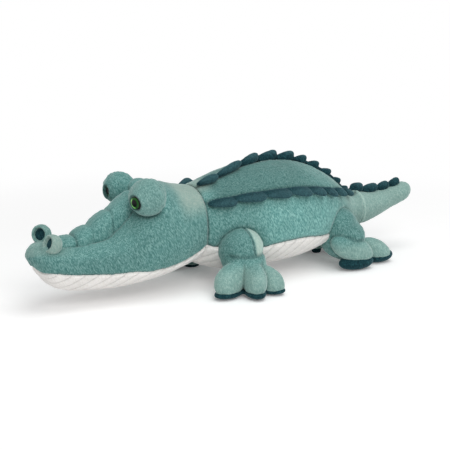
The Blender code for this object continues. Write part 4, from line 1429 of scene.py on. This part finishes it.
def make_eye(side):
    matrix = eye_frame(side)
    base = math.sqrt(DOME_RADII[side] ** 2 - EYE_RADIUS**2) - EYE_SUNKS[side]
    name = f"eye_{SIDE_NAMES[side]}"
    turn = np.linspace(0, math.pi / 2, 28)
    dome = [(EYE_RADIUS * math.sin(t), base + EYE_BULGE * math.cos(t)) for t in turn]
    rim, end = base - 0.0010, base - SHANK_END
    dome += [(EYE_RADIUS, rim), (SHANK_RADIUS, rim), (SHANK_RADIUS, end), (0, end)]
    eye = turned(f"{name}_dome", dome, matrix)
    local = local_to(matrix, points_of(eye))
    away = np.hypot(local[:, 0], local[:, 1])
    mark(eye, "out", np.where(local[:, 2] > base - 0.0001, away / EYE_RADIUS, 1.0))
    # A painted crescent of light on the iris, on its front and lower side.
    axis = np.array(matrix.to_3x3().col[2])
    outward = points_of(eye) - np.array(matrix.translation) - local[:, 2:] * axis
    ahead = unit(outward) @ unit(np.array((-0.75, side * -0.50, -0.35)))
    mark(eye, "lit", between(ahead, -0.05, 0.55))
    dress(eye, "eye_plastic", "head", name)
    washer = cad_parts[f"eye_washer_{SIDE_NAMES[side]}"]
    washer.data.materials.clear()
    washer.data.materials.append(FINISHES["washer_plastic"])


def make_nostril(side):
    matrix = nostril_frame(side)
    name = f"nostril_{SIDE_NAMES[side]}"

    def curled(points):
        local = local_to(matrix, points)
        roll = oval(local, (0, 0, -0.0008), (NOSTRIL_RADIUS, NOSTRIL_RADIUS, NOSTRIL_RADIUS * 0.92))
        bore = rod(local, (0, 0.0, 0.0030), (0, 0.0, 0.0120), NOSTRIL_BORE, NOSTRIL_BORE * 1.15)
        return shared(roll, -bore, 0.0026)

    centre = np.array(matrix.translation)
    obj = netted(f"{name}_loop", curled, centre - 0.011, centre + 0.011, NOSTRIL_STEP)
    pile(obj, 0.0004, 0.0014, seed=11)
    # Painted sheen on the rolled rim, more on the near nostril.
    mark(obj, "pale", 0.8 if side == LEFT else 0.3)
    dress(obj, "teal_plush", "head", name, fill=0.6)

    def cup(points):
        local = local_to(matrix, points)
        radius = NOSTRIL_BORE * 1.04
        lined = rod(local, (0, 0.0, 0.0026), (0, 0.0, 0.0120), radius, radius)
        return shared(lined, local[:, 2] - 0.0012, 0.0008)

    name = f"nostril_lining_{SIDE_NAMES[side]}"
    lining = netted(f"{name}_cloth", cup, centre - 0.011, centre + 0.011, NOSTRIL_STEP)
    dress(lining, "dark_velour", "head", name)


# Tail


def make_tail():
    body = tail_body()
    obj = loft("tail_skin", body, 100, 130, lambda along: rim_drawn_in(along, 0.003))
    points = points_of(obj)
    along = points[:, 0] - TAIL_X
    # A painted highlight along the fold at the root, and painted sheen and painted light over the whole
    # tail.
    fold = bump(along - 0.0022, 0.0016)
    push(obj, 0.0009 * fold)
    mark(obj, "pale", np.maximum(fold, 0.6))
    mark(obj, "painted_light", np.maximum(fold, 0.22))
    pile(obj, seed=13)
    dress(obj, "teal_plush", TAIL_BEND, "tail", fill=0.85)


# Studio


def make_camera():
    right = Vector((math.cos(CAMERA_AZIMUTH), math.sin(CAMERA_AZIMUTH), 0))
    back = Vector(
        (
            math.sin(CAMERA_AZIMUTH) * math.cos(CAMERA_ELEVATION),
            -math.cos(CAMERA_AZIMUTH) * math.cos(CAMERA_ELEVATION),
            math.sin(CAMERA_ELEVATION),
        )
    )
    data = bpy.data.cameras.new("camera")
    data.sensor_width = SENSOR_WIDTH
    data.lens = FOCAL_PIXELS / IMAGE_WIDTH * SENSOR_WIDTH
    data.clip_start = 0.01
    data.clip_end = 50
    camera = bpy.data.objects.new("camera", data)
    bpy.context.scene.collection.objects.link(camera)
    axes = Matrix((right, back.cross(right), back)).transposed().to_4x4()
    camera.matrix_world = Matrix.Translation(CAMERA_TARGET + back * CAMERA_DISTANCE) @ axes
    bpy.context.scene.camera = camera


# Each lamp's place, size and power
LAMPS = {
    "lamp_above": ((0.10, -0.35, 1.5), 1.2, 9.0),
    "lamp_front": ((-0.4, -1.4, 1.1), 1.0, 10.0),
}


def make_lamp(name, place, size, watts):
    data = bpy.data.lights.new(name, "AREA")
    data.shape = "DISK"
    data.size = size
    data.energy = watts
    lamp = bpy.data.objects.new(name, data)
    bpy.context.scene.collection.objects.link(lamp)
    lamp.location = place
    lamp.rotation_euler = (CAMERA_TARGET - Vector(place)).to_track_quat("-Z", "Y").to_euler()


FLOOR_REACH = 6.0
FLOOR_GLOW = 0.13
WORLD_LIGHT = 0.42
# How far from the middle the floor begins to fade, and where it is white
WHITE_FROM = 0.27
WHITE_TO = 0.53


def make_floor():
    """Paper that gives its own light back to the object and is seen as white further out."""
    mesh = bpy.data.meshes.new("floor")
    corners = [(x * FLOOR_REACH, y * FLOOR_REACH, 0) for x, y in ((-1, -1), (1, -1), (1, 1), (-1, 1))]
    mesh.from_pydata(corners, [], [(0, 1, 2, 3)])
    floor = new_object("floor", mesh)
    floor.location.z = -0.0004
    nodes = Nodes(bpy.data.materials.new("floor_paper"))
    where = nodes.place()
    paper = nodes.ramp(nodes.noise(where, 40), (0.3, grey(0.93)), (0.7, grey(0.95)))
    nodes.shade({"Base Color": paper, "Roughness": 1.0, "Specular IOR Level": 0.0})
    lit = nodes.add("ShaderNodeBsdfDiffuse", {"Color": grey(1.0)}).outputs["BSDF"]
    glow = nodes.glowing("ShaderNodeEmission", FLOOR_GLOW)
    near = nodes.add("ShaderNodeAddShader", {0: lit, 1: glow}).outputs["Shader"]
    away = nodes.add("ShaderNodeVectorMath", {0: where}, operation="LENGTH").outputs["Value"]
    far = nodes.math("DIVIDE", nodes.math("SUBTRACT", away, WHITE_FROM), WHITE_TO - WHITE_FROM)
    far = nodes.math("MAXIMUM", nodes.math("SMOOTH_MIN", far, 1.0, 0.3), 0.0)
    shown = nodes.mixed(far, near, nodes.glowing("ShaderNodeEmission", 1.0))
    surface = nodes.mixed(nodes.seen(), nodes.shader.outputs["BSDF"], shown)
    nodes.put(nodes.tree.nodes["Material Output"].inputs["Surface"], surface)
    mesh.materials.append(nodes.owner)


def make_world():
    """Soft light from all round, seen as white."""
    world = bpy.data.worlds.new("studio")
    bpy.context.scene.world = world
    nodes = Nodes(world, "Background")
    nodes.shade({"Color": grey(1.0), "Strength": WORLD_LIGHT})
    white = nodes.glowing("ShaderNodeBackground", 1.0)
    sky = nodes.mixed(nodes.seen(), nodes.shader.outputs["Background"], white)
    nodes.put(nodes.tree.nodes["World Output"].inputs["Surface"], sky)


make_camera()
make_world()
make_floor()
for lamp_name, lamp in LAMPS.items():
    make_lamp(lamp_name, *lamp)
bpy.context.scene.view_settings.view_transform = "Standard"

make_torso()
make_scutes()
make_head()
make_tail()
for leg_end in LEGS:
    for leg_side in (LEFT, RIGHT):
        make_leg(leg_end, leg_side)
